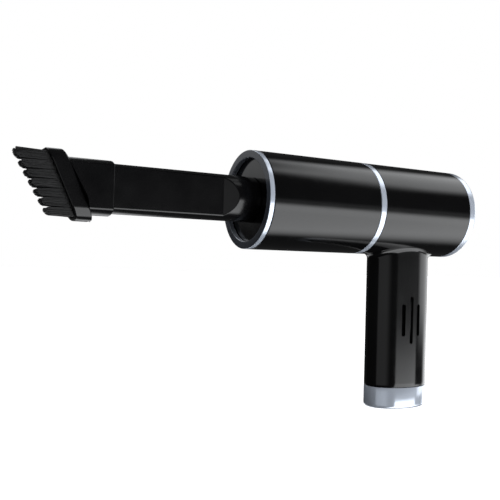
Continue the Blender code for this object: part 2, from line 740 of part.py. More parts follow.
def housing_half(name, side):
    """Half of the motor barrel and the grip in one moulding."""
    key = name.split("_")[1]
    front, rear = MID_RING_S + MID_RING_LENGTH + GAP, REAR_RING_S - GAP
    tenon_x, tenon_y = (half - CAP_WALL - GAP for half in (GRIP_HALF_LENGTH, GRIP_HALF_WIDTH))
    shoulder = CAP_HEIGHT + GAP
    half = oval_stack(
        name,
        [
            (tenon_x, tenon_y, CAP_FLOOR + GAP),
            (tenon_x, tenon_y, shoulder),
            (GRIP_HALF_LENGTH, GRIP_HALF_WIDTH, shoulder),
            (GRIP_HALF_LENGTH, GRIP_HALF_WIDTH, AXIS_HEIGHT),
        ],
    )
    join(half, disc("barrel_stock_" + key, BARREL_RADIUS, front, rear, STEPS))
    inner_x, inner_y = GRIP_HALF_LENGTH - GRIP_WALL, GRIP_HALF_WIDTH - GRIP_WALL
    hollow = oval_stack(
        "grip_hollow_" + key,
        [
            (tenon_x - TENON_WALL, tenon_y - TENON_WALL, -0.001),
            (tenon_x - TENON_WALL, tenon_y - TENON_WALL, shoulder - 0.0005),
            (inner_x, inner_y, shoulder + 0.0022),
            (inner_x, inner_y, AXIS_HEIGHT - 0.001),
        ],
    )
    join(hollow, disc("barrel_hollow_" + key, SPIGOT_RADIUS, front - 0.01, rear + 0.01, STEPS))
    cut(
        half,
        hollow,
        flat_shape("vents_" + key, vent_cutter(), -0.04, 0.04, facing_side(0, 0, VENT_HEIGHT)),
        rear_hole("port_hole_" + key, rounded_rectangle(0.0048, 0.0019, 0.0016, 3), PORT_HEIGHT),
        rear_hole("button_hole_" + key, button_outline(GAP), BUTTON_HEIGHT),
        rear_hole("lens_hole_" + key, circle(0.0016, 12), LENS_HEIGHT),
    )
    keep_inside(half, half_space("half_" + key, side))
    join(half, screw_boss("boss_upper_" + key, side, UPPER_SCREW, UPPER_BOSS_REACH))
    join(half, screw_boss("boss_lower_" + key, side, LOWER_SCREW, LOWER_BOSS_REACH))
    cut(half, screw_hole("upper_screw_hole_" + key, side, UPPER_SCREW))
    cut(half, screw_hole("lower_screw_hole_" + key, side, LOWER_SCREW))
    for modifier in half.modifiers:
        modifier.solver = "MANIFOLD"  # the exact one leaves the barrel's ring-shaped ends open
    return half


def housing_screw(name, place):
    head, shank = 0.0107, 0.0089
    profile = [(0, -head), (0.0025, -head), (0.0025, -shank), (0.0011, -shank), (0.0011, 0.007), (0, 0.007)]
    return turned(name, profile, from_seam(-1, place))


def handle_cap():
    """An oval cup, rounded below, that closes the grip and is its foot."""
    levels = []
    for step in range(4):
        angle = math.radians(30 * step)
        inset = CAP_ROUNDING * (1 - math.sin(angle))
        z = CAP_ROUNDING * (1 - math.cos(angle))
        levels.append((GRIP_HALF_LENGTH - inset, GRIP_HALF_WIDTH - inset, z))
    inner_x, inner_y = GRIP_HALF_LENGTH - CAP_WALL, GRIP_HALF_WIDTH - CAP_WALL
    levels.append((GRIP_HALF_LENGTH, GRIP_HALF_WIDTH, CAP_HEIGHT))
    levels.append((inner_x, inner_y, CAP_HEIGHT))
    levels.append((inner_x, inner_y, CAP_FLOOR))
    return oval_stack("handle_cap", levels)


def button_outline(extra=0.0):
    return rounded_rectangle(BUTTON_HALF_WIDTH + extra, BUTTON_HALF_HEIGHT + extra, 0.002 + extra, 4)


def power_button():
    """A key whose outer face follows the grip, with wings that keep it in."""
    key = flat_shape("power_button", [button_outline()], -0.0003, 0.01, facing_x(0.0193, BUTTON_HEIGHT))
    proud_x, proud_y = GRIP_HALF_LENGTH + BUTTON_PROUD, GRIP_HALF_WIDTH + BUTTON_PROUD
    skin = oval_stack("button_skin", [(proud_x, proud_y, 0.08), (proud_x, proud_y, 0.11)])
    keep_inside(key, skin)
    half_height = BUTTON_HALF_HEIGHT
    low = (0.018, -0.0056, BUTTON_HEIGHT - half_height)
    return join(key, box("button_wings", low, (0.0195, 0.0056, BUTTON_HEIGHT + half_height)))


def charge_port():
    """A socket shell, open to the rear of the grip."""
    place = facing_x(0.0168, PORT_HEIGHT)
    shell = rounded_rectangle(0.0045, 0.0016, 0.0014, 3)
    mouth = rounded_rectangle(0.00415, 0.00125, 0.0012, 3)
    port = flat_shape("charge_port", [shell], 0, 0.0062, place)
    return cut(port, flat_shape("port_mouth", [mouth], 0.0012, 0.008, place))


def status_lens():
    profile = [(0, 0.0209), (0.0013, 0.0209), (0.0013, 0.0241), (0, 0.0241)]
    return turned("status_lens", profile, facing_x(0, LENS_HEIGHT), 12)


def battery_cell(name, x):
    """A cell with a stepped positive end."""
    profile = [(0, CELL_BASE), (CELL_RADIUS, CELL_BASE), (CELL_RADIUS, CELL_TOP - 0.001)]
    profile += [(0.004, CELL_TOP - 0.001), (0.004, CELL_TOP), (0, CELL_TOP)]
    return turned(name, profile, upright(x), 24)


def cell_link(name, low):
    return box(name, (-0.0145, -0.003, low), (0.0145, 0.003, low + 0.0004))


def motor_lead(name, side):
    """A wire from the switch board up behind the motor."""
    route = [(0.0116, 0.0040, 0.1044), (0.0130, 0.0042, 0.1090), (0.0190, 0.0048, 0.1120)]
    route += [(0.0260, 0.0050, 0.1140), (0.0302, 0.0046, 0.1200), (0.0302, 0.0040, 0.1270)]
    return tube(name, [(x, side * y, z) for x, y, z in route], 0.0008)


def body_axis(name, place, nodes):
    """An empty on a joint's axis that carries the nodes of one moving body."""
    empty = bpy.data.objects.new(name, None)
    empty.empty_display_size = 0.01
    empty.matrix_world = Matrix.Translation(place)
    PARTS.objects.link(empty)
    for node in nodes:
        node.parent = empty
        node.matrix_parent_inverse = empty.matrix_world.inverted()
    return empty


clear_scene()
PARTS = new_collection("handheld_vacuum")
CUTTERS = new_collection("cutters")

BLACK = finish("gloss_black", (0.012, 0.012, 0.013), 0.18)
SATIN = finish("satin_black", (0.010, 0.010, 0.010), 0.42)
SILVER = finish("silver_trim", (0.62, 0.66, 0.73), 0.22, 0.9)
BRISTLE = finish("bristle", (0.022, 0.022, 0.023), 0.6)
RUBBER = finish("rubber", (0.03, 0.03, 0.03), 0.8)
PAPER = finish("filter_paper", (0.86, 0.86, 0.82), 0.9)
GREY = finish("grey_plastic", (0.18, 0.18, 0.19), 0.5)
STEEL = finish("steel", (0.62, 0.62, 0.62), 0.3, 1.0)
BRASS = finish("brass", (0.7, 0.5, 0.2), 0.35, 1.0)
COPPER = finish("copper", (0.72, 0.35, 0.2), 0.35, 1.0)
IRON = finish("dark_iron", (0.2, 0.2, 0.21), 0.5, 0.8)
CELL = finish("cell_wrap", (0.05, 0.25, 0.5), 0.4)
BOARD = finish("circuit_board", (0.02, 0.2, 0.08), 0.5)
LENS = finish("lens", (0.75, 0.8, 0.85), 0.2)
WIRE = finish("wire_skin", (0.45, 0.02, 0.02), 0.5)

brush = [
    own(brush_head(), SATIN),
    own(bristle_row("bristle_row_left", -BRISTLE_ROW_Y), BRISTLE),
    own(bristle_row("bristle_row_right", BRISTLE_ROW_Y), BRISTLE),
]
nozzle = [
    own(crevice_nozzle(), SATIN),
    own(ring("nozzle_seal", 0.0123, 0.0129, 0.0123, 0.0142, 32), RUBBER),
]
cup = [
    own(ring("front_ring", FRONT_RING_BORE, BARREL_RADIUS, 0, FRONT_RING_LENGTH, STEPS), SILVER),
    own(dust_cup(), BLACK),
    own(flap_knuckle("flap_pin", 0.0007, 0.0064), STEEL),
]
flap = [own(inlet_flap(), RUBBER)]
filters = [
    own(filter_frame(), GREY),
    own(filter_media(), PAPER),
    own(filter_gasket(), RUBBER),
]
rotor = [
    own(impeller(), GREY),
    own(impeller_nut(), BRASS),
    own(disc("motor_shaft", SHAFT_RADIUS, 0.0924, 0.153, 16), STEEL),
    own(armature(), IRON),
    own(ring("commutator", SHAFT_BORE, 0.0042, 0.1385, 0.1455, 16), COPPER),
]
button = [own(power_button(), SATIN)]
own(housing_half("housing_left", -1), BLACK)
own(housing_half("housing_right", 1), BLACK)
own(mid_ring(), SILVER)
own(cup_seal(), RUBBER)
own(rear_ring(), SILVER)
own(handle_cap(), SILVER)
own(exhaust_grille(), BLACK)
own(intake_guard(), GREY)
own(fan_shroud(), GREY)
own(motor_bracket(), GREY)
own(motor_can(), STEEL)
own(motor_end_cap(), GREY)
own(motor_rear_mount(), RUBBER)
own(ring("magnet_ring", 0.0146, 0.0164, 0.1145, 0.140, 32), IRON)
own(ring("front_bearing", SHAFT_BORE, BEARING_RADIUS, 0.1092, 0.1132, 16), BRASS)
own(ring("rear_bearing", SHAFT_BORE, BEARING_RADIUS, 0.1466, 0.1508, 16), BRASS)
for number, side in ((1, -1), (2, 1)):
    own(motor_screw(f"motor_screw_{number}", side), STEEL)
    own(carbon_brush(f"carbon_brush_{number}", side), IRON)
    own(battery_cell(f"battery_cell_{number}", side * CELL_X), CELL)
    own(motor_lead(f"motor_lead_{number}", side), WIRE)
own(cell_link("cell_link_top", CELL_TOP + GAP), STEEL)
own(cell_link("cell_link_bottom", CELL_BASE - 0.0007), STEEL)
own(oval_stack("battery_tray", [(0.0208, 0.0128, 0.0205), (0.0208, 0.0128, 0.0227)], 32), GREY)
own(box("charge_board", (-0.015, -0.0065, 0.0150), (0.0175, 0.0065, 0.0164)), BOARD)
own(charge_port(), STEEL)
own(box("switch_board", (0.0109, -0.007, 0.091), (0.0123, 0.007, 0.104)), BOARD)
own(box("power_switch", (0.0126, -0.003, 0.0928), (0.0165, 0.003, 0.0988)), GREY)
own(status_lens(), LENS)
own(housing_screw("housing_screw_upper", UPPER_SCREW), STEEL)
own(housing_screw("housing_screw_lower", LOWER_SCREW), STEEL)

axis_at = (FRONT_X, 0, AXIS_HEIGHT)
body_axis("brush_slide", axis_at, brush)
body_axis("nozzle_slide", axis_at, nozzle)
body_axis("cup_slide", axis_at, cup)
body_axis("flap_hinge", (FRONT_X + FLAP_HINGE_S, 0, AXIS_HEIGHT + FLAP_HINGE_H), flap)
body_axis("filter_slide", axis_at, filters)
body_axis("rotor_spin", axis_at, rotor)
body_axis("button_press", (GRIP_HALF_LENGTH, 0, BUTTON_HEIGHT), button)
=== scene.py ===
import json
import math
import random

import bmesh
import bpy
from mathutils import Matrix, Vector


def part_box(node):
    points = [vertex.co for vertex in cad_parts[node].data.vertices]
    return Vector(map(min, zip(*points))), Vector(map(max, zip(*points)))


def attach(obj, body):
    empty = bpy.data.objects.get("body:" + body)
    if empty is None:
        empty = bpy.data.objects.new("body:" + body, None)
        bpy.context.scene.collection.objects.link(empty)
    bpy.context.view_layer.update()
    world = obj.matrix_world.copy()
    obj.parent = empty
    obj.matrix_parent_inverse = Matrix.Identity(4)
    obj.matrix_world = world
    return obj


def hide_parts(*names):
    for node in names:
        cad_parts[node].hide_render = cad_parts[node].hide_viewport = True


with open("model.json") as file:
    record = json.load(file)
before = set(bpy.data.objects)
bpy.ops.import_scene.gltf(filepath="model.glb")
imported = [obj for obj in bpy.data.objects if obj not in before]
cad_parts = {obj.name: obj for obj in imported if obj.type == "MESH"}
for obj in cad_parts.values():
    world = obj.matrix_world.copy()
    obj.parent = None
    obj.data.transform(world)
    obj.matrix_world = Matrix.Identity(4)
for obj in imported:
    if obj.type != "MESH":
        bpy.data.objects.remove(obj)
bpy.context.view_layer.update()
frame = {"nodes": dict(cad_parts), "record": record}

# Sizes, in metres. "s" is the distance back along the barrel from its front face, outlines are
# drawn as (s, radius) points, and 0.031 is the radius of the barrel's outside.

FRONT_RING_LOW, FRONT_RING_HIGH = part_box("front_ring")
FRONT_X = FRONT_RING_LOW.x
AXIS_Z = (FRONT_RING_LOW.z + FRONT_RING_HIGH.z) / 2
BARREL_R = FRONT_RING_HIGH.z - AXIS_Z
ROUND = 160  # sides of the barrel and of the grip
FINE = 128  # sides of the nozzle and of what fits round it
SLIM = 96  # sides of the slimmer round pieces
SMALL = 32  # sides of pins and small holes

GRIP_X, GRIP_Y = 0.0242, 0.0161  # half length and half width of the grip's oval
FILLET = 0.0042  # radius where the grip runs into the barrel
SEAM = 0.00015  # half the gap between the housing halves
VENTS = ((-0.0065, 0.022), (0.0, 0.0327), (0.0065, 0.022))  # place along the grip and length
VENT_Z = 0.0606
VENT_WIDTH = 0.0028
UPPER_SCREW, LOWER_SCREW = (-0.011, 0.097), (0.0, 0.009)  # x and z
LIGHT_Z = 0.084
PIN_X, PIN_Z = FRONT_X + 0.021, AXIS_Z + 0.0164  # the flap's hinge


# Working by hand: small helpers round the operators


def deselect():
    if bpy.context.mode != "OBJECT":
        bpy.ops.object.mode_set(mode="OBJECT")
    bpy.ops.object.select_all(action="DESELECT")


def edit():
    bpy.ops.object.mode_set(mode="EDIT")
    bpy.ops.mesh.select_all(action="SELECT")


def pick(piece):
    deselect()
    piece.select_set(True)
    bpy.context.view_layer.objects.active = piece


def named(name):
    piece = bpy.context.object
    piece.name = piece.data.name = name
    return piece


def settle(piece):
    """Merges doubles, turns every face outward and puts the object's origin at the world's."""
    pick(piece)
    bpy.ops.object.transform_apply(location=True, rotation=True, scale=True)
    edit()
    bpy.ops.mesh.remove_doubles(threshold=0.000002)
    bpy.ops.mesh.normals_make_consistent(inside=False)
    bpy.ops.object.mode_set(mode="OBJECT")
    return piece


def apply_all(piece):
    pick(piece)
    for modifier in list(piece.modifiers):
        bpy.ops.object.modifier_apply(modifier=modifier.name)
    return piece


def soften(piece, width, segments=3, degrees=28):
    """Rounds every edge sharper than the angle."""
    bevel = piece.modifiers.new("rounded edges", "BEVEL")
    bevel.width = width
    bevel.segments = segments
    bevel.limit_method = "ANGLE"
    bevel.angle_limit = math.radians(degrees)
    bevel.use_clamp_overlap = False
    return apply_all(piece)


def smooth_only(piece, degrees=32):
    pick(piece)
    bpy.ops.object.shade_smooth_by_angle(angle=math.radians(degrees))
    return piece


def smooth(piece, degrees=32):
    """Smooths as above, and lets the large faces decide the shading, so they look flat."""
    smooth_only(piece, degrees)
    weighted = piece.modifiers.new("flat faces stay flat", "WEIGHTED_NORMAL")
    weighted.keep_sharp = True
    return apply_all(piece)


def carve(piece, operation, *tools):
    """Cuts, joins or keeps with the tools, then throws them away."""
    for tool in tools:
        modifier = piece.modifiers.new("carve", "BOOLEAN")
        modifier.operation = operation
        modifier.solver = "MANIFOLD"
        modifier.object = tool
        apply_all(piece)
        bpy.data.objects.remove(tool, do_unlink=True)
    return piece


def gather(piece, *others):
    """Makes the others part of this object, each still a closed shell of its own."""
    pick(piece)
    for other in others:
        other.select_set(True)
    bpy.ops.object.join()
    return piece


def slice_off(piece, point, normal):
    """Cuts along a plane, drops what lies on the normal's side and closes the cut."""
    pick(piece)
    edit()
    bpy.ops.mesh.bisect(plane_co=point, plane_no=normal, use_fill=True, clear_outer=True)
    bpy.ops.object.mode_set(mode="OBJECT")
    return piece


def turned(name, outline, sides=ROUND):
    """Draws (s, radius) points as a chain of edges and spins the chain round the barrel axis."""
    deselect()
    first_s, first_radius = outline[0]
    start = (FRONT_X + first_s, 0, AXIS_Z + first_radius)
    bpy.ops.mesh.primitive_plane_add(size=0.0001, location=start)
    piece = named(name)
    edit()
    bpy.ops.mesh.merge(type="CENTER")
    for (s0, r0), (s1, r1) in zip(outline, outline[1:]):
        bpy.ops.mesh.extrude_vertices_move(TRANSFORM_OT_translate={"value": (s1 - s0, 0, r1 - r0)})
    bpy.ops.mesh.select_all(action="SELECT")
    bpy.ops.mesh.spin(steps=sides, angle=math.tau, center=(0, 0, AXIS_Z), axis=(1, 0, 0))
    return settle(piece)


def turned_ring(name, outline):
    """A turned piece whose outline closes on itself."""
    return turned(name, outline + outline[:1])


def turn_about_barrel(piece, angle):
    to_axis = Matrix.Translation((0, 0, AXIS_Z))
    piece.data.transform(to_axis @ Matrix.Rotation(angle, 4, "X") @ to_axis.inverted())
    return piece


def rounded_block(name, low, high, radius, along, segments=8):
    """A block whose four edges along one axis are rounded."""
    deselect()
    size = [b - a for a, b in zip(low, high)]
    middle = [(a + b) / 2 for a, b in zip(low, high)]
    bpy.ops.mesh.primitive_cube_add(size=1, location=middle, scale=size)
    piece = named(name)
    bpy.ops.object.transform_apply(location=True, rotation=True, scale=True)
    bpy.ops.object.mode_set(mode="EDIT")
    bpy.ops.mesh.select_mode(type="EDGE")
    bpy.ops.mesh.select_all(action="DESELECT")
    shape = bmesh.from_edit_mesh(piece.data)
    for edge in shape.edges:
        run = (edge.verts[1].co - edge.verts[0].co).normalized()
        edge.select = abs(run[along]) > 0.99
    bmesh.update_edit_mesh(piece.data)
    bpy.ops.mesh.bevel(offset=radius, segments=segments, affect="EDGES")
    bpy.ops.mesh.select_mode(type="VERT")
    return settle(piece)


def rod(name, start, end, radius, sides=SLIM):
    """A plain round rod between two points, for cutting and for small pieces."""
    deselect()
    run = Vector(end) - Vector(start)
    turn = run.to_track_quat("Z", "Y").to_euler()
    middle = (Vector(start) + Vector(end)) / 2
    bpy.ops.mesh.primitive_cylinder_add(
        vertices=sides, radius=radius, depth=run.length, location=middle, rotation=turn
    )
    piece = named(name)
    return settle(piece)


def arc(radius, start, end, count, centre):
    """Points on a corner of an outline, from one angle to another in degrees."""
    angles = [math.radians(start + (end - start) * i / (count - 1)) for i in range(count)]
    return [(centre[0] + radius * math.cos(a), centre[1] + radius * math.sin(a)) for a in angles]


def oval_loft(name, rings, sides=ROUND, closed=False):
    """A round tube extruded once per ring, each ring then moved where its rule says.

    A ring is (half length, half width, height) or a rule that gives a point for an angle."""
    deselect()
    fill = "NOTHING" if closed else "NGON"
    bpy.ops.mesh.primitive_circle_add(vertices=sides, radius=1, fill_type=fill)
    piece = named(name)
    edit()
    for _ in rings[1:]:
        bpy.ops.mesh.extrude_region_move(TRANSFORM_OT_translate={"value": (0, 0, 1)})
    bpy.ops.object.mode_set(mode="OBJECT")
    for vert in piece.data.vertices:
        ring = rings[round(vert.co.z)]
        angle = math.atan2(vert.co.y, vert.co.x)
        if callable(ring):
            vert.co = ring(angle)
        else:
            half_x, half_y, z = ring
            vert.co = (half_x * math.cos(angle), half_y * math.sin(angle), z)
    return settle(piece)


# Barrel: dust cup and trim rings


def front_ring():
    ring = turned_ring("front_trim", [(0, 0.0262), (0, 0.031), (0.0033, 0.031), (0.0033, 0.0262)])
    soften(ring, 0.00045, 4)
    return smooth(ring)


def across_pin(name, half, radius, sides):
    """A rod on the line of the flap's pin."""
    return rod(name, (PIN_X, -half, PIN_Z), (PIN_X, half, PIN_Z), radius, sides)


def ear(side):
    """One of the two lugs that hold the flap's pin, above the socket."""
    inner, outer = sorted((side * 0.0042, side * 0.0066))
    low, high = (PIN_X - 0.005, inner, PIN_Z - 0.0024), (PIN_X + 0.0014, outer, PIN_Z + 0.0018)
    lug = rounded_block("lug", low, high, 0.0012, 1)
    return carve(lug, "DIFFERENCE", across_pin("lug_hole", 0.01, 0.001, SMALL))


def dust_cup():
    front, rear, steps = 0.0036, 0.083, 8
    outline = [(front, 0.0132), (front, 0.031)]
    outline += [(front + (rear - front) * step / steps, 0.031) for step in range(1, steps + 1)]
    outline += [(rear, 0.029), (0.0075, 0.029), (0.0065, 0.0286), (0.0061, 0.0276), (0.0061, 0.0162)]
    outline += [(0.0064, 0.0155), (0.0071, 0.0152), (0.020, 0.0152), (0.020, 0.0132)]
    cup = turned_ring("dust_cup_shell", outline)
    soften(cup, 0.0003, 3, 50)
    smooth(cup)
    return gather(cup, smooth(soften(ear(-1), 0.0003)), smooth(soften(ear(1), 0.0003)))


def middle_ring():
    outline = [(0.077, 0.0263), (0.077, 0.0283), (0.0774, 0.0287), (0.0788, 0.0287), (0.0788, 0.0273)]
    outline += [(0.081, 0.0273), (0.081, 0.0287), (0.0833, 0.0287), (0.0833, 0.031), (0.0875, 0.031)]
    outline += [(0.0875, 0.0284), (0.0921, 0.0284), (0.0921, 0.0263)]
    ring = turned_ring("middle_trim", outline)
    soften(ring, 0.00035, 3, 60)
    return smooth(ring)


def rear_ring():
    rear, round_off = 0.1676, 0.0018
    corner = arc(round_off, 0, 90, 9, (rear - round_off, 0.031 - round_off))
    outline = [(0.1571, 0.0263), (0.1571, 0.0284), (0.1617, 0.0284), (0.1617, 0.031)]
    outline += corner[::-1] + [(rear, 0.0263)]
    ring = turned_ring("rear_trim", outline)
    soften(ring, 0.00035, 3, 60)
    return smooth(ring)


def exhaust_grille():
    """A disc with slots that spread out from a low round boss."""
    outline = [(0.163, 0.0), (0.163, 0.026), (0.165, 0.026), (0.165, 0.0078)]
    outline += [(0.1656, 0.0072), (0.1659, 0.006), (0.166, 0.0)]
    disc = turned("exhaust_disc", outline)
    slot_count = 16
    slots = []
    for number in range(slot_count):
        slot = rounded_block(
            f"grille_slot_{number}",
            (FRONT_X + 0.160, -0.0012, AXIS_Z + 0.0093),
            (FRONT_X + 0.168, 0.0012, AXIS_Z + 0.0217),
            0.0011,
            0,
            6,
        )
        slots.append(turn_about_barrel(slot, math.tau * number / slot_count))
    carve(disc, "DIFFERENCE", gather(slots[0], *slots[1:]))
    soften(disc, 0.00025, 2, 50)
    return smooth(disc)


# Housing halves, with the grip running into the barrel


def fillet(share):
    """A rule for one ring of the corner where a ball would roll between grip and barrel."""

    def place(angle):
        wall = Vector((GRIP_X * math.cos(angle), GRIP_Y * math.sin(angle), 0))
        outward = Vector((math.cos(angle) / GRIP_X, math.sin(angle) / GRIP_Y, 0)).normalized()
        ball = wall + outward * FILLET
        drop = math.sqrt((BARREL_R + FILLET) ** 2 - ball.y**2)
        ball.z = AXIS_Z - drop
        to_barrel = Vector((0, -ball.y, drop)).normalized()
        return ball + (-outward).slerp(to_barrel, share) * FILLET

    return place


def below_fillet(share, start_z):
    """A rule for a ring between a level height and the fillet's lower edge."""
    edge = fillet(0)

    def place(angle):
        point = edge(angle)
        point.z = start_z + (point.z - start_z) * share
        return point

    return place


def on_barrel_skin(out, radius):
    """A rule for a ring that lies along the barrel, a little outside the fillet's upper edge."""
    edge = fillet(1)

    def place(angle):
        point = edge(angle)
        point += Vector((math.cos(angle), math.sin(angle), 0)) * out
        point.z = AXIS_Z - math.sqrt(radius**2 - point.y**2)
        return point

    return place


def oval_at_radius(half_x, half_y, radius):
    """A rule for an oval ring that follows a round surface about the barrel axis."""

    def place(angle):
        x, y = half_x * math.cos(angle), half_y * math.sin(angle)
        return (x, y, AXIS_Z - math.sqrt(radius**2 - y**2))

    return place


def grip_shell(name):
    """Up the outside from the tongue inside the cap to the barrel, and down again on the inside."""
    foot, level_top, level_steps, fillet_steps = 0.015, 0.0945, 32, 16
    tongue, inside, tongue_inside = (0.0221, 0.0140), (0.0219, 0.0138), (0.0203, 0.0122)
    rings = [(*tongue, 0.0028), (*tongue, 0.0147), (GRIP_X - 0.0003, GRIP_Y - 0.0003, 0.0147)]
    rings += [(GRIP_X - 0.0001, GRIP_Y - 0.0001, 0.0148), (GRIP_X, GRIP_Y, foot)]
    for step in range(1, level_steps + 1):
        rings.append((GRIP_X, GRIP_Y, foot + (level_top - foot) * step / level_steps))
    rings += [below_fillet(share, level_top) for share in (0.25, 0.5, 0.75)]
    rings += [fillet(step / fillet_steps) for step in range(fillet_steps + 1)]
    rings += [on_barrel_skin(0.0004, BARREL_R + 0.00001), oval_at_radius(0.0232, 0.0151, 0.0296)]
    rings += [oval_at_radius(*inside, 0.0287), (*inside, 0.090), (*inside, 0.030), (*inside, 0.0169)]
    rings += [(*tongue_inside, 0.0142), (*tongue_inside, 0.0028)]
    return oval_loft(name, rings + rings[:1], closed=True)


def motor_barrel(name):
    front, rear, steps, outer, inner = 0.0878, 0.1614, 18, 0.031, 0.0287
    lengths = [front + (rear - front) * step / steps for step in range(steps + 1)]
    outline = [(s, outer) for s in lengths] + [(s, inner) for s in reversed(lengths)]
    barrel = turned_ring(name, outline)
    opening = oval_loft("grip_opening", [(0.0225, 0.0144, 0.098), (0.0225, 0.0144, 0.125)])
    return carve(barrel, "DIFFERENCE", opening)


def vent_cutters():
    return [
        rounded_block(
            f"vent_{number}",
            (x - VENT_WIDTH / 2, -0.03, VENT_Z - length / 2),
            (x + VENT_WIDTH / 2, 0.03, VENT_Z + length / 2),
            VENT_WIDTH / 2 - 0.00002,
            1,
            10,
        )
        for number, (x, length) in enumerate(VENTS)
    ]


def rear_cutters():
    """Openings in the grip's rear for the charging port, the key and the light."""
    port = rounded_block("port_opening", (0.015, -0.0048, 0.0164), (0.035, 0.0048, 0.0202), 0.0016, 0)
    key = rounded_block("key_opening", (0.015, -0.0043, 0.0907), (0.035, 0.0043, 0.1009), 0.0023, 0)
    light = rod("light_opening", (0.015, 0, LIGHT_Z), (0.035, 0, LIGHT_Z), 0.0016, SMALL)
    return [port, key, light]


def housing_half(name, side):
    """One moulding of grip and barrel; side is 1 for the half at +Y, which takes the screws."""
    grip = carve(grip_shell(name), "DIFFERENCE", *vent_cutters(), *rear_cutters())
    if side > 0:
        x, z = UPPER_SCREW
        carve(grip, "DIFFERENCE", rod("screw_recess", (x, 0.0086, z), (x, 0.03, z), 0.0029, 48))
    barrel = motor_barrel(name + "_barrel")
    for shell in (grip, barrel):
        slice_off(shell, (0, side * SEAM, 0), (0, -side, 0))
        smooth_only(shell)
    return gather(grip, barrel)


def handle_cap():
    """An oval cup, rounded below, that closes the grip and is its foot."""
    radius, top, wall, steps = 0.0023, 0.0144, 0.0018, 10
    rings = []
    for step in range(steps + 1):
        angle = math.radians(90 // steps * step)
        inset, z = radius * (1 - math.sin(angle)), radius * (1 - math.cos(angle))
        rings.append((GRIP_X - inset, GRIP_Y - inset, z))
    rings += [(GRIP_X, GRIP_Y, top - 0.0004), (GRIP_X - 0.00012, GRIP_Y - 0.00012, top - 0.00012)]
    rings += [(GRIP_X - 0.0004, GRIP_Y - 0.0004, top), (GRIP_X - wall, GRIP_Y - wall, top)]
    rings += [(GRIP_X - wall, GRIP_Y - wall, 0.0025)]
    return smooth_only(oval_loft("foot_cap", rings), 40)


# Controls on the grip's rear, and the screws


def power_key():
    """A rounded key that follows the grip's curve, with a dimple for the finger."""
    back, face, half_width, bottom, middle, top = 0.0190, 0.0260, 0.004, 0.0910, 0.0958, 0.1006
    key = rounded_block("power_key", (back, -half_width, bottom), (face, half_width, top), 0.002, 0)
    proud = 0.0006
    curve = (GRIP_X + proud, GRIP_Y + proud)
    carve(key, "INTERSECT", oval_loft("key_skin", [(*curve, 0.08), (*curve, 0.11)]))
    soften(key, 0.0005, 4, 40)
    bpy.ops.mesh.primitive_uv_sphere_add(
        segments=48, ring_count=24, radius=0.006, location=(0.0303, 0, middle)
    )
    carve(key, "DIFFERENCE", settle(named("key_dimple")))
    return smooth_only(key, 30)


def light_lens():
    lens = rod("light_lens", (0.0209, 0, LIGHT_Z), (0.0241, 0, LIGHT_Z), 0.0013, SMALL)
    soften(lens, 0.0003, 3, 40)
    return smooth(lens)


def charge_socket():
    """A steel shell with a contact tongue in its mouth."""
    shell = rounded_block("charge_socket", (0.0168, -0.0045, 0.0167), (0.0230, 0.0045, 0.0199), 0.0014, 0)
    mouth_low, mouth_high = (0.0180, -0.00415, 0.01705), (0.0260, 0.00415, 0.01955)
    carve(shell, "DIFFERENCE", rounded_block("socket_mouth", mouth_low, mouth_high, 0.0012, 0))
    soften(shell, 0.0001, 2, 50)
    tongue = rounded_block("tongue", (0.0178, -0.0032, 0.01795), (0.0222, 0.0032, 0.01865), 0.0003, 0, 3)
    return smooth(gather(shell, tongue))


def housing_screw(name, x, z):
    """A pan head with a cross recess, sunk in the right half."""
    head = rod(name, (x, 0.0089, z), (x, 0.0107, z), 0.0025, 48)
    soften(head, 0.0005, 4, 40)
    for half_x, half_z in ((0.0004, 0.0015), (0.0015, 0.0004)):
        low, high = (x - half_x, 0.0097, z - half_z), (x + half_x, 0.012, z + half_z)
        carve(head, "DIFFERENCE", rounded_block("cross_arm", low, high, 0.0001, 1, 2))
    shank = rod("shank", (x, -0.007, z), (x, 0.0090, z), 0.0011, 24)
    return gather(smooth(head), smooth_only(shank, 40))


# Crevice nozzle

NOZZLE_R, TENON_R = 0.01425, 0.0129
CHANNEL_R, CHANNEL_HALF = 0.01245, 0.0065  # the air channel, and half its width


def flatted_rod(name, radius, half_width, s0, s1, sides=SLIM):
    """A rod on the barrel axis with its two sides cut flat."""
    shape = rod(name, (FRONT_X + s0, 0, AXIS_Z), (FRONT_X + s1, 0, AXIS_Z), radius, sides)
    for side in (-1, 1):
        slice_off(shape, (0, side * half_width, 0), (0, side, 0))
    return shape


def flat_cutter(side):
    """Takes one flat off the shank and ramps up to the round root."""
    reach, tip, flat_end, ramp_end, width = 0.018, -0.102, -0.0196, -0.0115, 0.0083
    block = rounded_block(
        "flat_cutter",
        (FRONT_X + tip, min(side * width, side * reach), AXIS_Z - 0.03),
        (FRONT_X + flat_end, max(side * width, side * reach), AXIS_Z + 0.03),
        0.00001,
        1,
        1,
    )
    run = (ramp_end - flat_end) / (NOZZLE_R - width) * (reach - width)
    for vert in block.data.vertices:
        if vert.co.x > FRONT_X + flat_end - 0.001 and abs(vert.co.y) > reach - 0.001:
            vert.co.x += run
    return block


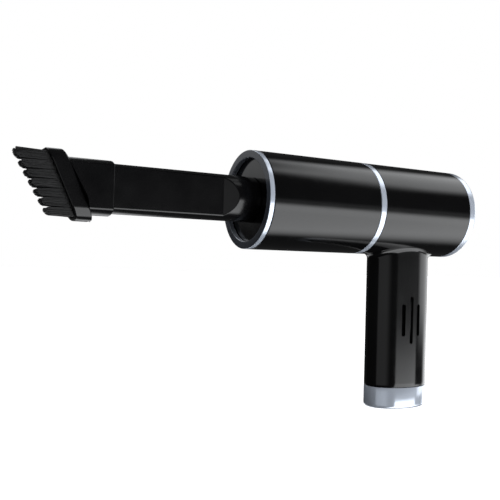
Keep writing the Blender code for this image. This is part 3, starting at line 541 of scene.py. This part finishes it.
def crevice_nozzle():
    tip, shoulder, end = -0.100, 0.0033, 0.0194
    outline = [(tip, 0.0), (tip, NOZZLE_R), (-0.0110, NOZZLE_R), (shoulder, NOZZLE_R)]
    outline += [(shoulder, TENON_R), (0.012, TENON_R), (0.012, 0.012), (0.0145, 0.012)]
    outline += [(0.0145, TENON_R), (end, TENON_R), (end, 0.0)]
    nozzle = turned("nozzle_tube", outline, FINE)
    carve(nozzle, "DIFFERENCE", flat_cutter(-1), flat_cutter(1))
    soften(nozzle, 0.0005, 4, 15)
    channel = flatted_rod("channel", CHANNEL_R, CHANNEL_HALF, -0.101, -0.0115)
    bore = rod("bore", (FRONT_X - 0.0145, 0, AXIS_Z), (FRONT_X + 0.021, 0, AXIS_Z), 0.0111)
    carve(nozzle, "DIFFERENCE", channel, bore)
    return smooth(nozzle, 25)


# Brush attachment

COLLAR_SLANT = 0.455  # how far the collar leans forward per unit of height
LEAN = Vector((1, 0, COLLAR_SLANT)).normalized()


def slanted_block(name, half_y, half_z, radius, front_s, rear_s):
    """A rounded bar along the barrel axis between two slanted planes."""
    block = rounded_block(
        name,
        (FRONT_X + front_s - 0.03, -half_y, AXIS_Z - half_z),
        (FRONT_X + rear_s + 0.03, half_y, AXIS_Z + half_z),
        radius,
        0,
        12,
    )
    slice_off(block, (FRONT_X + rear_s, 0, AXIS_Z), LEAN)
    return slice_off(block, (FRONT_X + front_s, 0, AXIS_Z), -LEAN)


def brush_head():
    front_s, rear_s = -0.1158, -0.1065
    head = slanted_block("brush_body", 0.011, 0.0192, 0.0076, front_s, rear_s)
    soften(head, 0.0009, 4, 50)
    sleeve = soften(flatted_rod("sleeve", 0.0157, 0.0095, -0.130, -0.087, FINE), 0.0007, 4, 20)
    slice_off(sleeve, (FRONT_X + front_s + 0.002, 0, AXIS_Z), -LEAN)
    carve(head, "UNION", sleeve)
    socket_end, channel_end = -0.1003, -0.104
    recess = slanted_block("recess", 0.0092, 0.0174, 0.0045, front_s - 0.003, front_s + 0.004)
    socket = flatted_rod("socket", 0.01455, 0.0086, socket_end, -0.080)
    channel = flatted_rod("air_channel", CHANNEL_R, CHANNEL_HALF, channel_end, socket_end + 0.001)
    mouth_low = (FRONT_X - 0.13, -0.0023, AXIS_Z - 0.0135)
    mouth_high = (FRONT_X + channel_end + 0.001, 0.0023, AXIS_Z + 0.0135)
    mouth = rounded_block("mouth", mouth_low, mouth_high, 0.0022, 0)
    carve(head, "DIFFERENCE", recess, socket, channel, mouth)
    soften(head, 0.0003, 3, 50)
    return smooth(head, 25)


def filament():
    """One bristle, a metre long and standing up, to be scaled into its place."""
    deselect()
    bpy.ops.mesh.primitive_cone_add(
        vertices=5, radius1=0.00019, radius2=0.00013, depth=1, location=(0, 0, 0.5)
    )
    return settle(named("filament"))


def copies(name, model, places):
    """One object made of a copy of the model at each place."""
    shape = bmesh.new()
    for place in places:
        shape.verts.ensure_lookup_table()
        done = len(shape.verts)
        shape.from_mesh(model.data)
        shape.verts.ensure_lookup_table()
        bmesh.ops.transform(shape, matrix=place, verts=shape.verts[done:])
    mesh = bpy.data.meshes.new(name)
    shape.to_mesh(mesh)
    shape.free()
    bpy.data.objects.remove(model, do_unlink=True)
    made = bpy.data.objects.new(name, mesh)
    bpy.context.scene.collection.objects.link(made)
    return made


def bristle_row(name, y, seed):
    """Seven tufts of loose filaments on a strip, cut to a slant; each tuft narrows to a round tip."""
    draw = random.Random(seed)
    tufts, pitch, root_half, tip_half, thick_half = 7, 0.0049, 0.00235, 0.00175, 0.0016
    across_count, up_count = 9, 13
    root_scatter, tip_scatter, ragged = 0.00008, 0.00014, 0.0003
    root_x, tip_x, tip_slant, tip_round = -0.1121, -0.1306, 0.56, 0.0011
    places = []
    for tuft in range(tufts):
        middle = (tuft - tufts // 2) * pitch
        splay = 0.0013 if tuft == tufts - 1 else 0.0
        for number in range(across_count * up_count):
            across = (number % across_count) / (across_count - 1) * 2 - 1
            up = (number // across_count) / (up_count - 1) * 2 - 1
            root = Vector((0, y + across * thick_half, middle + up * root_half))
            tip = Vector((0, y + across * thick_half, middle + up * tip_half + max(up, 0) * splay))
            root += Vector((0, draw.uniform(-1, 1), draw.uniform(-1, 1))) * root_scatter
            tip += Vector((0, draw.gauss(0, 1), draw.gauss(0, 1))) * tip_scatter
            root.x = root_x - COLLAR_SLANT * root.z
            tip.x = tip_x - tip_slant * tip.z + tip_round * up * up + abs(draw.gauss(0, ragged))
            run = tip - root
            turn = run.to_track_quat("Z", "Y").to_matrix().to_4x4()
            at = Matrix.Translation(root + Vector((FRONT_X, 0, AXIS_Z)))
            places.append(at @ turn @ Matrix.Diagonal((1, 1, run.length, 1)))
    row = copies(name, filament(), places)
    strip = slanted_block("strip", 0.0018, 0.0167, 0.0004, -0.1136, root_x)
    strip.data.transform(Matrix.Translation((0, y, 0)))
    return gather(row, strip)


# Filter, flap and seals


def filter_frame():
    flange = turned_ring("filter_cage", [(0.079, 0.0135), (0.079, 0.026), (0.083, 0.026), (0.083, 0.0135)])
    soften(flange, 0.0005, 3, 50)
    cap = rod("cap", (FRONT_X + 0.05, 0, AXIS_Z), (FRONT_X + 0.0525, 0, AXIS_Z), 0.019, FINE)
    soften(cap, 0.0007, 4, 50)
    ribs = []
    for number in range(4):
        rib = rounded_block(
            f"rib_{number}",
            (FRONT_X + 0.051, -0.0014, AXIS_Z + 0.0178),
            (FRONT_X + 0.080, 0.0014, AXIS_Z + 0.0187),
            0.0003,
            0,
            3,
        )
        ribs.append(turn_about_barrel(rib, math.radians(45 + 90 * number)))
    tab = rounded_block(
        "tab",
        (FRONT_X + 0.046, -0.001, AXIS_Z - 0.003),
        (FRONT_X + 0.051, 0.001, AXIS_Z + 0.003),
        0.001,
        1,
        6,
    )
    soften(tab, 0.0002, 2, 50)
    return gather(smooth(flange), smooth(cap), *[smooth(rib) for rib in ribs], smooth(tab))


def filter_paper():
    """Paper folded to and fro round the axis."""
    folds, per_fold, rows, length = 40, 6, 6, 0.0259
    middle_r, half_fold, crease = 0.0156, 0.00125, 0.985  # a crease of one would be a knife edge
    deselect()
    bpy.ops.mesh.primitive_circle_add(
        vertices=folds * per_fold,
        radius=0.0157,
        fill_type="NOTHING",
        location=(FRONT_X + 0.0528, 0, AXIS_Z),
        rotation=(0, math.pi / 2, 0),
    )
    paper = named("pleated_paper")
    edit()
    for _ in range(rows):
        bpy.ops.mesh.extrude_region_move(TRANSFORM_OT_translate={"value": (length / rows, 0, 0)})
    settle(paper)
    for vert in paper.data.vertices:
        y, z = vert.co.y, vert.co.z - AXIS_Z
        angle = math.atan2(z, y)
        wave = math.asin(crease * math.cos(folds * angle))
        radius = middle_r + half_fold * wave / math.asin(crease)
        vert.co.y, vert.co.z = radius * math.cos(angle), AXIS_Z + radius * math.sin(angle)
    wall = paper.modifiers.new("paper thickness", "SOLIDIFY")
    wall.thickness = 0.0003
    wall.offset = 0
    apply_all(paper)
    return smooth_only(paper, 50)


def round_seal(name, s0, s1, inner, outer):
    """A rubber ring whose outer edge is half round."""
    middle, half = (s0 + s1) / 2, (s1 - s0) / 2
    height, steps = half * 0.6, 8
    crown = []
    for step in range(steps, -1, -1):
        angle = math.pi * step / steps
        crown.append((middle + half * math.cos(angle), outer - height * (1 - math.sin(angle))))
    return smooth_only(turned_ring(name, [(s0, inner)] + crown + [(s1, inner)]), 50)


def inlet_flap():
    """A soft disc over the socket's end, hung from a pin above it."""
    front, rear = PIN_X - 0.0006, PIN_X + 0.0006
    flap = rod("flap_disc", (front, 0, AXIS_Z), (rear, 0, AXIS_Z), 0.0142, FINE)
    soften(flap, 0.0003, 3, 50)
    tab = rounded_block("flap_tab", (front, -0.0035, PIN_Z - 0.0045), (rear, 0.0035, PIN_Z), 0.0002, 1, 2)
    knuckle = across_pin("knuckle", 0.0039, 0.0014, 48)
    carve(knuckle, "DIFFERENCE", across_pin("pin_hole", 0.008, 0.001, SMALL))
    return gather(smooth(flap), smooth(tab), smooth(knuckle))


def flap_pin():
    pin = across_pin("hinge_pin", 0.0064, 0.0007, SMALL)
    soften(pin, 0.0002, 3, 50)
    return smooth(pin)


# Materials. Patterns read Object coordinates, so their scales are per metre.


def new_material(name, colour, roughness, metallic=0.0, **sockets):
    material = bpy.data.materials.new(name)
    material.use_nodes = True
    shader = material.node_tree.nodes["Principled BSDF"]
    shader.inputs["Base Color"].default_value = (*colour, 1)
    shader.inputs["Roughness"].default_value = roughness
    shader.inputs["Metallic"].default_value = metallic
    for socket, value in sockets.items():
        shader.inputs[socket.replace("_", " ")].default_value = value
    return material


def add_node(material, kind, sockets=None, **settings):
    made = material.node_tree.nodes.new("ShaderNode" + kind)
    for name, value in settings.items():
        setattr(made, name, value)
    for name, value in (sockets or {}).items():
        made.inputs[name].default_value = value
    return made


def join(material, source, target):
    material.node_tree.links.new(source, target)


def shader_socket(material, name):
    return material.node_tree.nodes["Principled BSDF"].inputs[name]


def place_on_piece(material, stretch=(1, 1, 1), centre=(0, 0, 0)):
    """Object coordinates, stretched; the centre lands on zero."""
    place = add_node(material, "TexCoord")
    moved = add_node(material, "Mapping", {"Scale": stretch})
    moved.inputs["Location"].default_value = [-c * s for c, s in zip(centre, stretch)]
    join(material, place.outputs["Object"], moved.inputs["Vector"])
    return moved.outputs["Vector"]


def noise(material, scale, detail=2.0, stretch=(1, 1, 1), rough=0.5):
    texture = add_node(material, "TexNoise", {"Scale": scale, "Detail": detail, "Roughness": rough})
    join(material, place_on_piece(material, stretch), texture.inputs["Vector"])
    return texture.outputs["Fac"]


def spread(material, value, low, high, start=0.35, end=0.65):
    """Takes a value between start and end to one between low and high."""
    limits = {"From Min": start, "From Max": end, "To Min": low, "To Max": high}
    scale = add_node(material, "MapRange", limits)
    join(material, value, scale.inputs["Value"])
    return scale.outputs["Result"]


def roughness_between(material, value, low, high):
    join(material, spread(material, value, low, high), shader_socket(material, "Roughness"))


def colour_between(material, value, low, high, start=0.35, end=0.65):
    """Colours the piece from low to high as the value rises."""
    mix = add_node(material, "Mix", data_type="RGBA")
    mix.inputs["A"].default_value = (*low, 1)
    mix.inputs["B"].default_value = (*high, 1)
    join(material, spread(material, value, 0, 1, start, end), mix.inputs["Factor"])
    join(material, mix.outputs["Result"], shader_socket(material, "Base Color"))


def relief(material, height, depth):
    """Raises the surface by up to the depth, in metres, on top of any relief already there."""
    bump = add_node(material, "Bump", {"Strength": 1.0, "Distance": depth})
    normal = shader_socket(material, "Normal")
    if normal.links:
        join(material, normal.links[0].from_socket, bump.inputs["Normal"])
    join(material, height, bump.inputs["Height"])
    join(material, bump.outputs["Normal"], normal)


def gloss_black():
    """High-gloss moulded shell: faint flow waves and the haze that handling leaves."""
    material = new_material("gloss black shell", (0.0025, 0.0025, 0.0027), 0.12)
    haze = noise(material, 70, 4, rough=0.6)
    roughness_between(material, haze, 0.1, 0.15)
    colour_between(material, noise(material, 26, 2), (0.002, 0.002, 0.0022), (0.003, 0.003, 0.0032))
    relief(material, noise(material, 160, 1), 0.0000018)
    relief(material, noise(material, 2600, 2), 0.0000004)
    return material


def satin_black():
    """Black moulding with a fine spark-eroded grain."""
    material = new_material("satin black moulding", (0.003, 0.003, 0.0033), 0.16, Specular_IOR_Level=0.45)
    roughness_between(material, noise(material, 90, 4, rough=0.6), 0.13, 0.19)
    colour_between(material, noise(material, 40, 3), (0.0025, 0.0025, 0.0028), (0.004, 0.004, 0.0043))
    relief(material, noise(material, 3200, 2), 0.000002)
    return material


def silver_trim():
    """Pale metallic paint: fine flakes under a clear coat."""
    material = new_material(
        "silver paint", (0.62, 0.68, 0.79), 0.13, 0.45, Coat_Weight=0.5, Coat_Roughness=0.08
    )
    flakes = add_node(material, "TexVoronoi", {"Scale": 5200})
    join(material, place_on_piece(material), flakes.inputs["Vector"])
    colour_between(material, flakes.outputs["Distance"], (0.65, 0.71, 0.82), (0.6, 0.66, 0.76), 0.1, 0.7)
    roughness_between(material, noise(material, 110, 4), 0.11, 0.15)
    relief(material, flakes.outputs["Distance"], 0.0000006)
    return material


def smoked_face():
    """Dark slate gloss on the front of the trim."""
    material = new_material("smoked trim face", (0.07, 0.08, 0.1), 0.2)
    colour_between(material, noise(material, 60, 3), (0.065, 0.075, 0.094), (0.075, 0.086, 0.108))
    relief(material, noise(material, 2600, 2), 0.0000005)
    return material


def bristle():
    """Black nylon; each filament takes its own shade."""
    material = new_material("nylon bristle", (0.005, 0.005, 0.0055), 0.4, Specular_IOR_Level=0.22)
    each = add_node(material, "NewGeometry")
    shade = each.outputs["Random Per Island"]
    colour_between(material, shade, (0.0015, 0.0015, 0.0017), (0.011, 0.011, 0.0118), 0, 1)
    roughness_between(material, noise(material, 1400, 2), 0.3, 0.46)
    return material


def rubber():
    material = new_material("soft black rubber", (0.018, 0.018, 0.018), 0.72)
    colour_between(material, noise(material, 300, 4), (0.013, 0.013, 0.013), (0.026, 0.026, 0.027))
    roughness_between(material, noise(material, 500, 3), 0.64, 0.8)
    relief(material, noise(material, 4200, 2), 0.000012)
    return material


def filter_paper_finish():
    """Off-white fibrous paper, greyed here and there by dust."""
    material = new_material("pleated filter paper", (0.74, 0.71, 0.63), 0.92)
    colour_between(material, noise(material, 90, 5, rough=0.65), (0.60, 0.57, 0.50), (0.80, 0.78, 0.71))
    relief(material, noise(material, 2400, 5, (0.25, 1, 1), 0.7), 0.00003)
    return material


def grey_plastic():
    material = new_material("grey moulding", (0.11, 0.115, 0.12), 0.48)
    colour_between(material, noise(material, 120, 3), (0.095, 0.1, 0.105), (0.125, 0.13, 0.137))
    roughness_between(material, noise(material, 160, 3), 0.42, 0.54)
    relief(material, noise(material, 2800, 2), 0.000008)
    return material


def steel():
    """Drawn steel with fine marks that run lengthways."""
    material = new_material("bright steel", (0.56, 0.57, 0.58), 0.28, 1.0)
    drawn = noise(material, 900, 3, (0.06, 1, 1))
    roughness_between(material, drawn, 0.2, 0.36)
    colour_between(material, noise(material, 150, 3), (0.5, 0.51, 0.52), (0.62, 0.63, 0.64))
    relief(material, drawn, 0.000002)
    return material


def brass():
    material = new_material("brass", (0.75, 0.52, 0.22), 0.3, 1.0)
    colour_between(material, noise(material, 220, 4), (0.62, 0.41, 0.17), (0.80, 0.57, 0.26))
    roughness_between(material, noise(material, 700, 3), 0.22, 0.38)
    return material


def copper():
    """Bars and enamelled wire, seen as fine ridges round the shaft."""
    material = new_material("copper", (0.80, 0.36, 0.20), 0.3, 1.0)
    wires = add_node(material, "TexWave", {"Scale": 900, "Distortion": 1.0}, bands_direction="X")
    join(material, place_on_piece(material), wires.inputs["Vector"])
    colour_between(material, wires.outputs["Fac"], (0.55, 0.22, 0.11), (0.84, 0.41, 0.24), 0.2, 0.8)
    relief(material, wires.outputs["Fac"], 0.00004)
    return material


def dark_iron():
    """Stacked laminations and pressed iron, slightly oxidised."""
    material = new_material("dark iron", (0.09, 0.088, 0.085), 0.5, 0.85)
    sheets = add_node(material, "TexWave", {"Scale": 420}, bands_direction="X")
    join(material, place_on_piece(material), sheets.inputs["Vector"])
    relief(material, sheets.outputs["Fac"], 0.00002)
    colour_between(material, noise(material, 260, 5), (0.06, 0.057, 0.055), (0.13, 0.125, 0.12))
    roughness_between(material, noise(material, 330, 4), 0.4, 0.6)
    return material


def cell_wrap():
    """Black shrunk film with slight wrinkles."""
    material = new_material("shrink film", (0.012, 0.012, 0.014), 0.3, Coat_Weight=0.3, Coat_Roughness=0.1)
    colour_between(material, noise(material, 60, 3), (0.009, 0.009, 0.011), (0.016, 0.016, 0.019))
    relief(material, noise(material, 260, 3, (1, 1, 0.2)), 0.00005)
    return material


def circuit_board():
    """Green solder mask with the weave of the laminate under it."""
    material = new_material("circuit board", (0.01, 0.12, 0.05), 0.38, Coat_Weight=0.4, Coat_Roughness=0.12)
    colour_between(material, noise(material, 240, 3), (0.008, 0.095, 0.04), (0.013, 0.14, 0.06))
    for direction in ("Y", "Z"):
        weave = add_node(material, "TexWave", {"Scale": 500}, bands_direction=direction)
        join(material, place_on_piece(material), weave.inputs["Vector"])
        relief(material, weave.outputs["Fac"], 0.000008)
    return material


def lens():
    material = new_material(
        "light lens", (0.80, 0.84, 0.86), 0.22, Transmission_Weight=0.55, Emission_Color=(0.25, 0.5, 1.0, 1)
    )
    roughness_between(material, noise(material, 1800, 3), 0.18, 0.28)
    return material


def wire_skin():
    material = new_material("red wire skin", (0.30, 0.014, 0.012), 0.42)
    colour_between(material, noise(material, 300, 3), (0.24, 0.011, 0.009), (0.36, 0.018, 0.015))
    relief(material, noise(material, 1600, 2), 0.00001)
    return material


FINISHES = {
    "gloss_black": gloss_black,
    "satin_black": satin_black,
    "silver_trim": silver_trim,
    "bristle": bristle,
    "rubber": rubber,
    "filter_paper": filter_paper_finish,
    "grey_plastic": grey_plastic,
    "steel": steel,
    "brass": brass,
    "copper": copper,
    "dark_iron": dark_iron,
    "cell_wrap": cell_wrap,
    "circuit_board": circuit_board,
    "lens": lens,
    "wire_skin": wire_skin,
}


# Studio: camera, floor and light


CAMERA_PLACE = (-0.3243, -0.3764, 0.0967)
CAMERA_TURN, CAMERA_TILT, CAMERA_ROLL = -28.55, 91.12, 1.63  # degrees
LAMP_AIM, LAMP_AWAY = Vector((-0.04, 0, 0.1)), Vector((-0.12, -0.83, 0.86))
ROOM_GLOW = 0.035  # the dim room between the softboxes
DAYLIGHT = (0.97, 0.985, 1, 1)


def camera():
    """Near the object's height, in front of it and to its nozzle's side."""
    eye = bpy.data.objects.new("camera", bpy.data.cameras.new("camera"))
    eye.data.lens = 49.2
    eye.data.clip_start = 0.01
    eye.data.clip_end = 20
    side = Matrix.Rotation(math.radians(CAMERA_TURN), 4, "Z")
    tilt = Matrix.Rotation(math.radians(CAMERA_TILT), 4, "X")
    roll = Matrix.Rotation(math.radians(CAMERA_ROLL), 4, "Z")
    eye.matrix_world = Matrix.Translation(CAMERA_PLACE) @ side @ tilt @ roll
    bpy.context.scene.collection.objects.link(eye)
    bpy.context.scene.camera = eye


def floor():
    """A pale table that glows a little, as one lit from below does, and gives no gloss back."""
    deselect()
    bpy.ops.mesh.primitive_plane_add(size=12)
    table = named("floor")
    material = new_material("pale table", (0.86, 0.86, 0.86), 0.9)
    shader_socket(material, "Emission Color").default_value = (1, 1, 1, 1)
    shader_socket(material, "Emission Strength").default_value = 0.8
    table.data.materials.append(material)
    table.visible_glossy = False
    table.visible_diffuse = False
    table.visible_shadow = False


# Softboxes far off. Each limit is (place, width of its soft edge) in degrees: left and right as
# azimuths, bottom and top as elevations, then the strength. Azimuth 0 is in front of the object, 90
# behind its rear end.
SOFTBOXES = [
    ((1, 3), (57, 2), (-80, 8), (-8, 9), 3.1),  # low in front
    ((57, 2), (77, 40), (-80, 8), (-18, 8), 3.1),  # and on towards the rear, lower down
    ((1, 3), (58, 3), (-20, 6), (2, 6), 0.25),  # a weak one above it
    ((-72, 5), (-24, 22), (-25, 6), (10, 6), 0.38),  # weak, behind the camera
    ((64, 14), (120, 8), (-5, 5), (14, 5), 1.6),  # white wall past the rear end
    ((92, 18), (124, 8), (-22, 8), (-5, 5), 2.2),  # and its lower part, set back
    ((57, 22), (115, 22), (36, 12), (59, 14), 1.9),  # overhead
    ((-160, 6), (-142, 6), (6, 7), (16, 5), 0.75),  # a strip beyond the nozzle
    ((164, 8), (215, 8), (22, 8), (62, 8), 1.6),  # behind, high
    ((158, 8), (184, 8), (-62, 8), (-18, 8), 1.4),  # behind, low
    ((-140, 8), (-100, 8), (24, 8), (60, 8), 0.6),  # on the nozzle's side, high
]


def main_light():
    """A big diffuse panel, high in front; it leaves no reflection of its own."""
    lamp = bpy.data.lights.new("main light", "AREA")
    lamp.shape = "RECTANGLE"
    lamp.size, lamp.size_y = 0.9, 0.7
    lamp.energy = 10
    panel = bpy.data.objects.new("main light", lamp)
    panel.location = LAMP_AIM + LAMP_AWAY
    panel.rotation_euler = LAMP_AWAY.to_track_quat("Z", "Y").to_euler()
    panel.visible_glossy = False
    panel.visible_camera = False
    bpy.context.scene.collection.objects.link(panel)


def world_math(tree, operation, *values):
    made = tree.nodes.new("ShaderNodeMath")
    made.operation = operation
    for socket, value in zip(made.inputs, values):
        if isinstance(value, bpy.types.NodeSocket):
            tree.links.new(value, socket)
        else:
            socket.default_value = value
    return made.outputs[0]


def window(tree, value, low, high):
    """One between low and high, zero outside; each limit is (place, width of its soft edge)."""
    sides = []
    for (place, blur), turn in ((low, 1), (high, -1)):
        edge = tree.nodes.new("ShaderNodeMapRange")
        edge.interpolation_type = "SMOOTHSTEP"
        tree.links.new(value, edge.inputs["Value"])
        edge.inputs["From Min"].default_value = place - turn * blur / 2
        edge.inputs["From Max"].default_value = place + turn * blur / 2
        sides.append(edge.outputs["Result"])
    return world_math(tree, "MULTIPLY", *sides)


def studio_light():
    """White behind the object; to the object itself, a dim room with softboxes."""
    world = bpy.data.worlds.new("studio")
    world.use_nodes = True
    bpy.context.scene.world = world
    tree = world.node_tree
    room = tree.nodes["Background"]
    place = tree.nodes.new("ShaderNodeTexCoord")
    split = tree.nodes.new("ShaderNodeSeparateXYZ")
    tree.links.new(place.outputs["Generated"], split.inputs["Vector"])
    x, y, z = split.outputs
    to_degrees = 180 / math.pi
    front = world_math(tree, "MULTIPLY", y, -1.0)
    azimuth = world_math(tree, "MULTIPLY", world_math(tree, "ARCTAN2", x, front), to_degrees)
    turned_back = world_math(tree, "LESS_THAN", azimuth, -90.0)
    behind = world_math(tree, "MULTIPLY_ADD", turned_back, 360.0, azimuth)
    elevation = world_math(tree, "MULTIPLY", world_math(tree, "ARCSINE", z), to_degrees)
    light = ROOM_GLOW
    for left, right, bottom, top, strength in SOFTBOXES:
        across = window(tree, behind if right[0] > 180 else azimuth, left, right)
        up = window(tree, elevation, bottom, top)
        glow = world_math(tree, "MULTIPLY", world_math(tree, "MULTIPLY", across, up), strength)
        light = world_math(tree, "ADD", light, glow)
    tree.links.new(light, room.inputs["Strength"])
    room.inputs["Color"].default_value = DAYLIGHT
    backdrop = tree.nodes.new("ShaderNodeBackground")
    backdrop.inputs["Color"].default_value = (1, 1, 1, 1)
    path = tree.nodes.new("ShaderNodeLightPath")
    mix = tree.nodes.new("ShaderNodeMixShader")
    tree.links.new(path.outputs["Is Camera Ray"], mix.inputs["Fac"])
    tree.links.new(room.outputs["Background"], mix.inputs[1])
    tree.links.new(backdrop.outputs["Background"], mix.inputs[2])
    tree.links.new(mix.outputs["Shader"], tree.nodes["World Output"].inputs["Surface"])
    bpy.context.scene.view_settings.view_transform = "Standard"


# Assembly

FINISH = {slot: make() for slot, make in FINISHES.items()}


def fit(piece, body, slot, *nodes):
    """A finished piece takes its finish, rides on its body and stands for its CAD nodes."""
    piece.data.materials.clear()
    piece.data.materials.append(FINISH[slot])
    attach(piece, body)
    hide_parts(*nodes)


camera()
floor()
studio_light()
main_light()

front_trim = front_ring()
fit(front_trim, "cup", "silver_trim", "front_ring")
front_trim.data.materials.append(smoked_face())
for face in front_trim.data.polygons:
    faces_forward = face.normal.x < -0.8
    face.material_index = int(faces_forward)
fit(dust_cup(), "cup", "gloss_black", "dust_cup")
fit(flap_pin(), "cup", "steel", "flap_pin")
fit(inlet_flap(), "flap", "rubber", "inlet_flap")
fit(middle_ring(), "housing", "silver_trim", "mid_ring")
fit(round_seal("cup_o_ring", 0.0791, 0.0807, 0.0276, 0.0287), "housing", "rubber", "cup_seal")
fit(rear_ring(), "housing", "silver_trim", "rear_ring")
fit(exhaust_grille(), "housing", "satin_black", "exhaust_grille")
fit(housing_half("left_shell", -1), "housing", "gloss_black", "housing_left")
fit(housing_half("right_shell", 1), "housing", "gloss_black", "housing_right")
fit(handle_cap(), "housing", "silver_trim", "handle_cap")
fit(housing_screw("upper_screw", *UPPER_SCREW), "housing", "steel", "housing_screw_upper")
fit(housing_screw("lower_screw", *LOWER_SCREW), "housing", "steel", "housing_screw_lower")
fit(light_lens(), "housing", "lens", "status_lens")
fit(charge_socket(), "housing", "steel", "charge_port")
fit(power_key(), "button", "satin_black", "power_button")
fit(crevice_nozzle(), "nozzle", "satin_black", "crevice_nozzle")
fit(round_seal("nozzle_o_ring", 0.0123, 0.0142, 0.0123, 0.0129), "nozzle", "rubber", "nozzle_seal")
fit(brush_head(), "brush", "satin_black", "brush_head")
fit(bristle_row("left_bristles", -0.0042, 3), "brush", "bristle", "bristle_row_left")
fit(bristle_row("right_bristles", 0.0042, 5), "brush", "bristle", "bristle_row_right")
fit(filter_frame(), "filter", "grey_plastic", "filter_frame")
fit(filter_paper(), "filter", "filter_paper", "filter_media")
fit(round_seal("filter_washer", 0.0833, 0.0853, 0.022, 0.026), "filter", "rubber", "filter_gasket")

# The pieces inside that are shown as packed take their finishes too.
for part in frame["record"]["subparts"]:
    for place in frame["nodes"][part["node"]].material_slots:
        place.link = "OBJECT"
        place.material = FINISH[part["material_slot"]]

deselect()
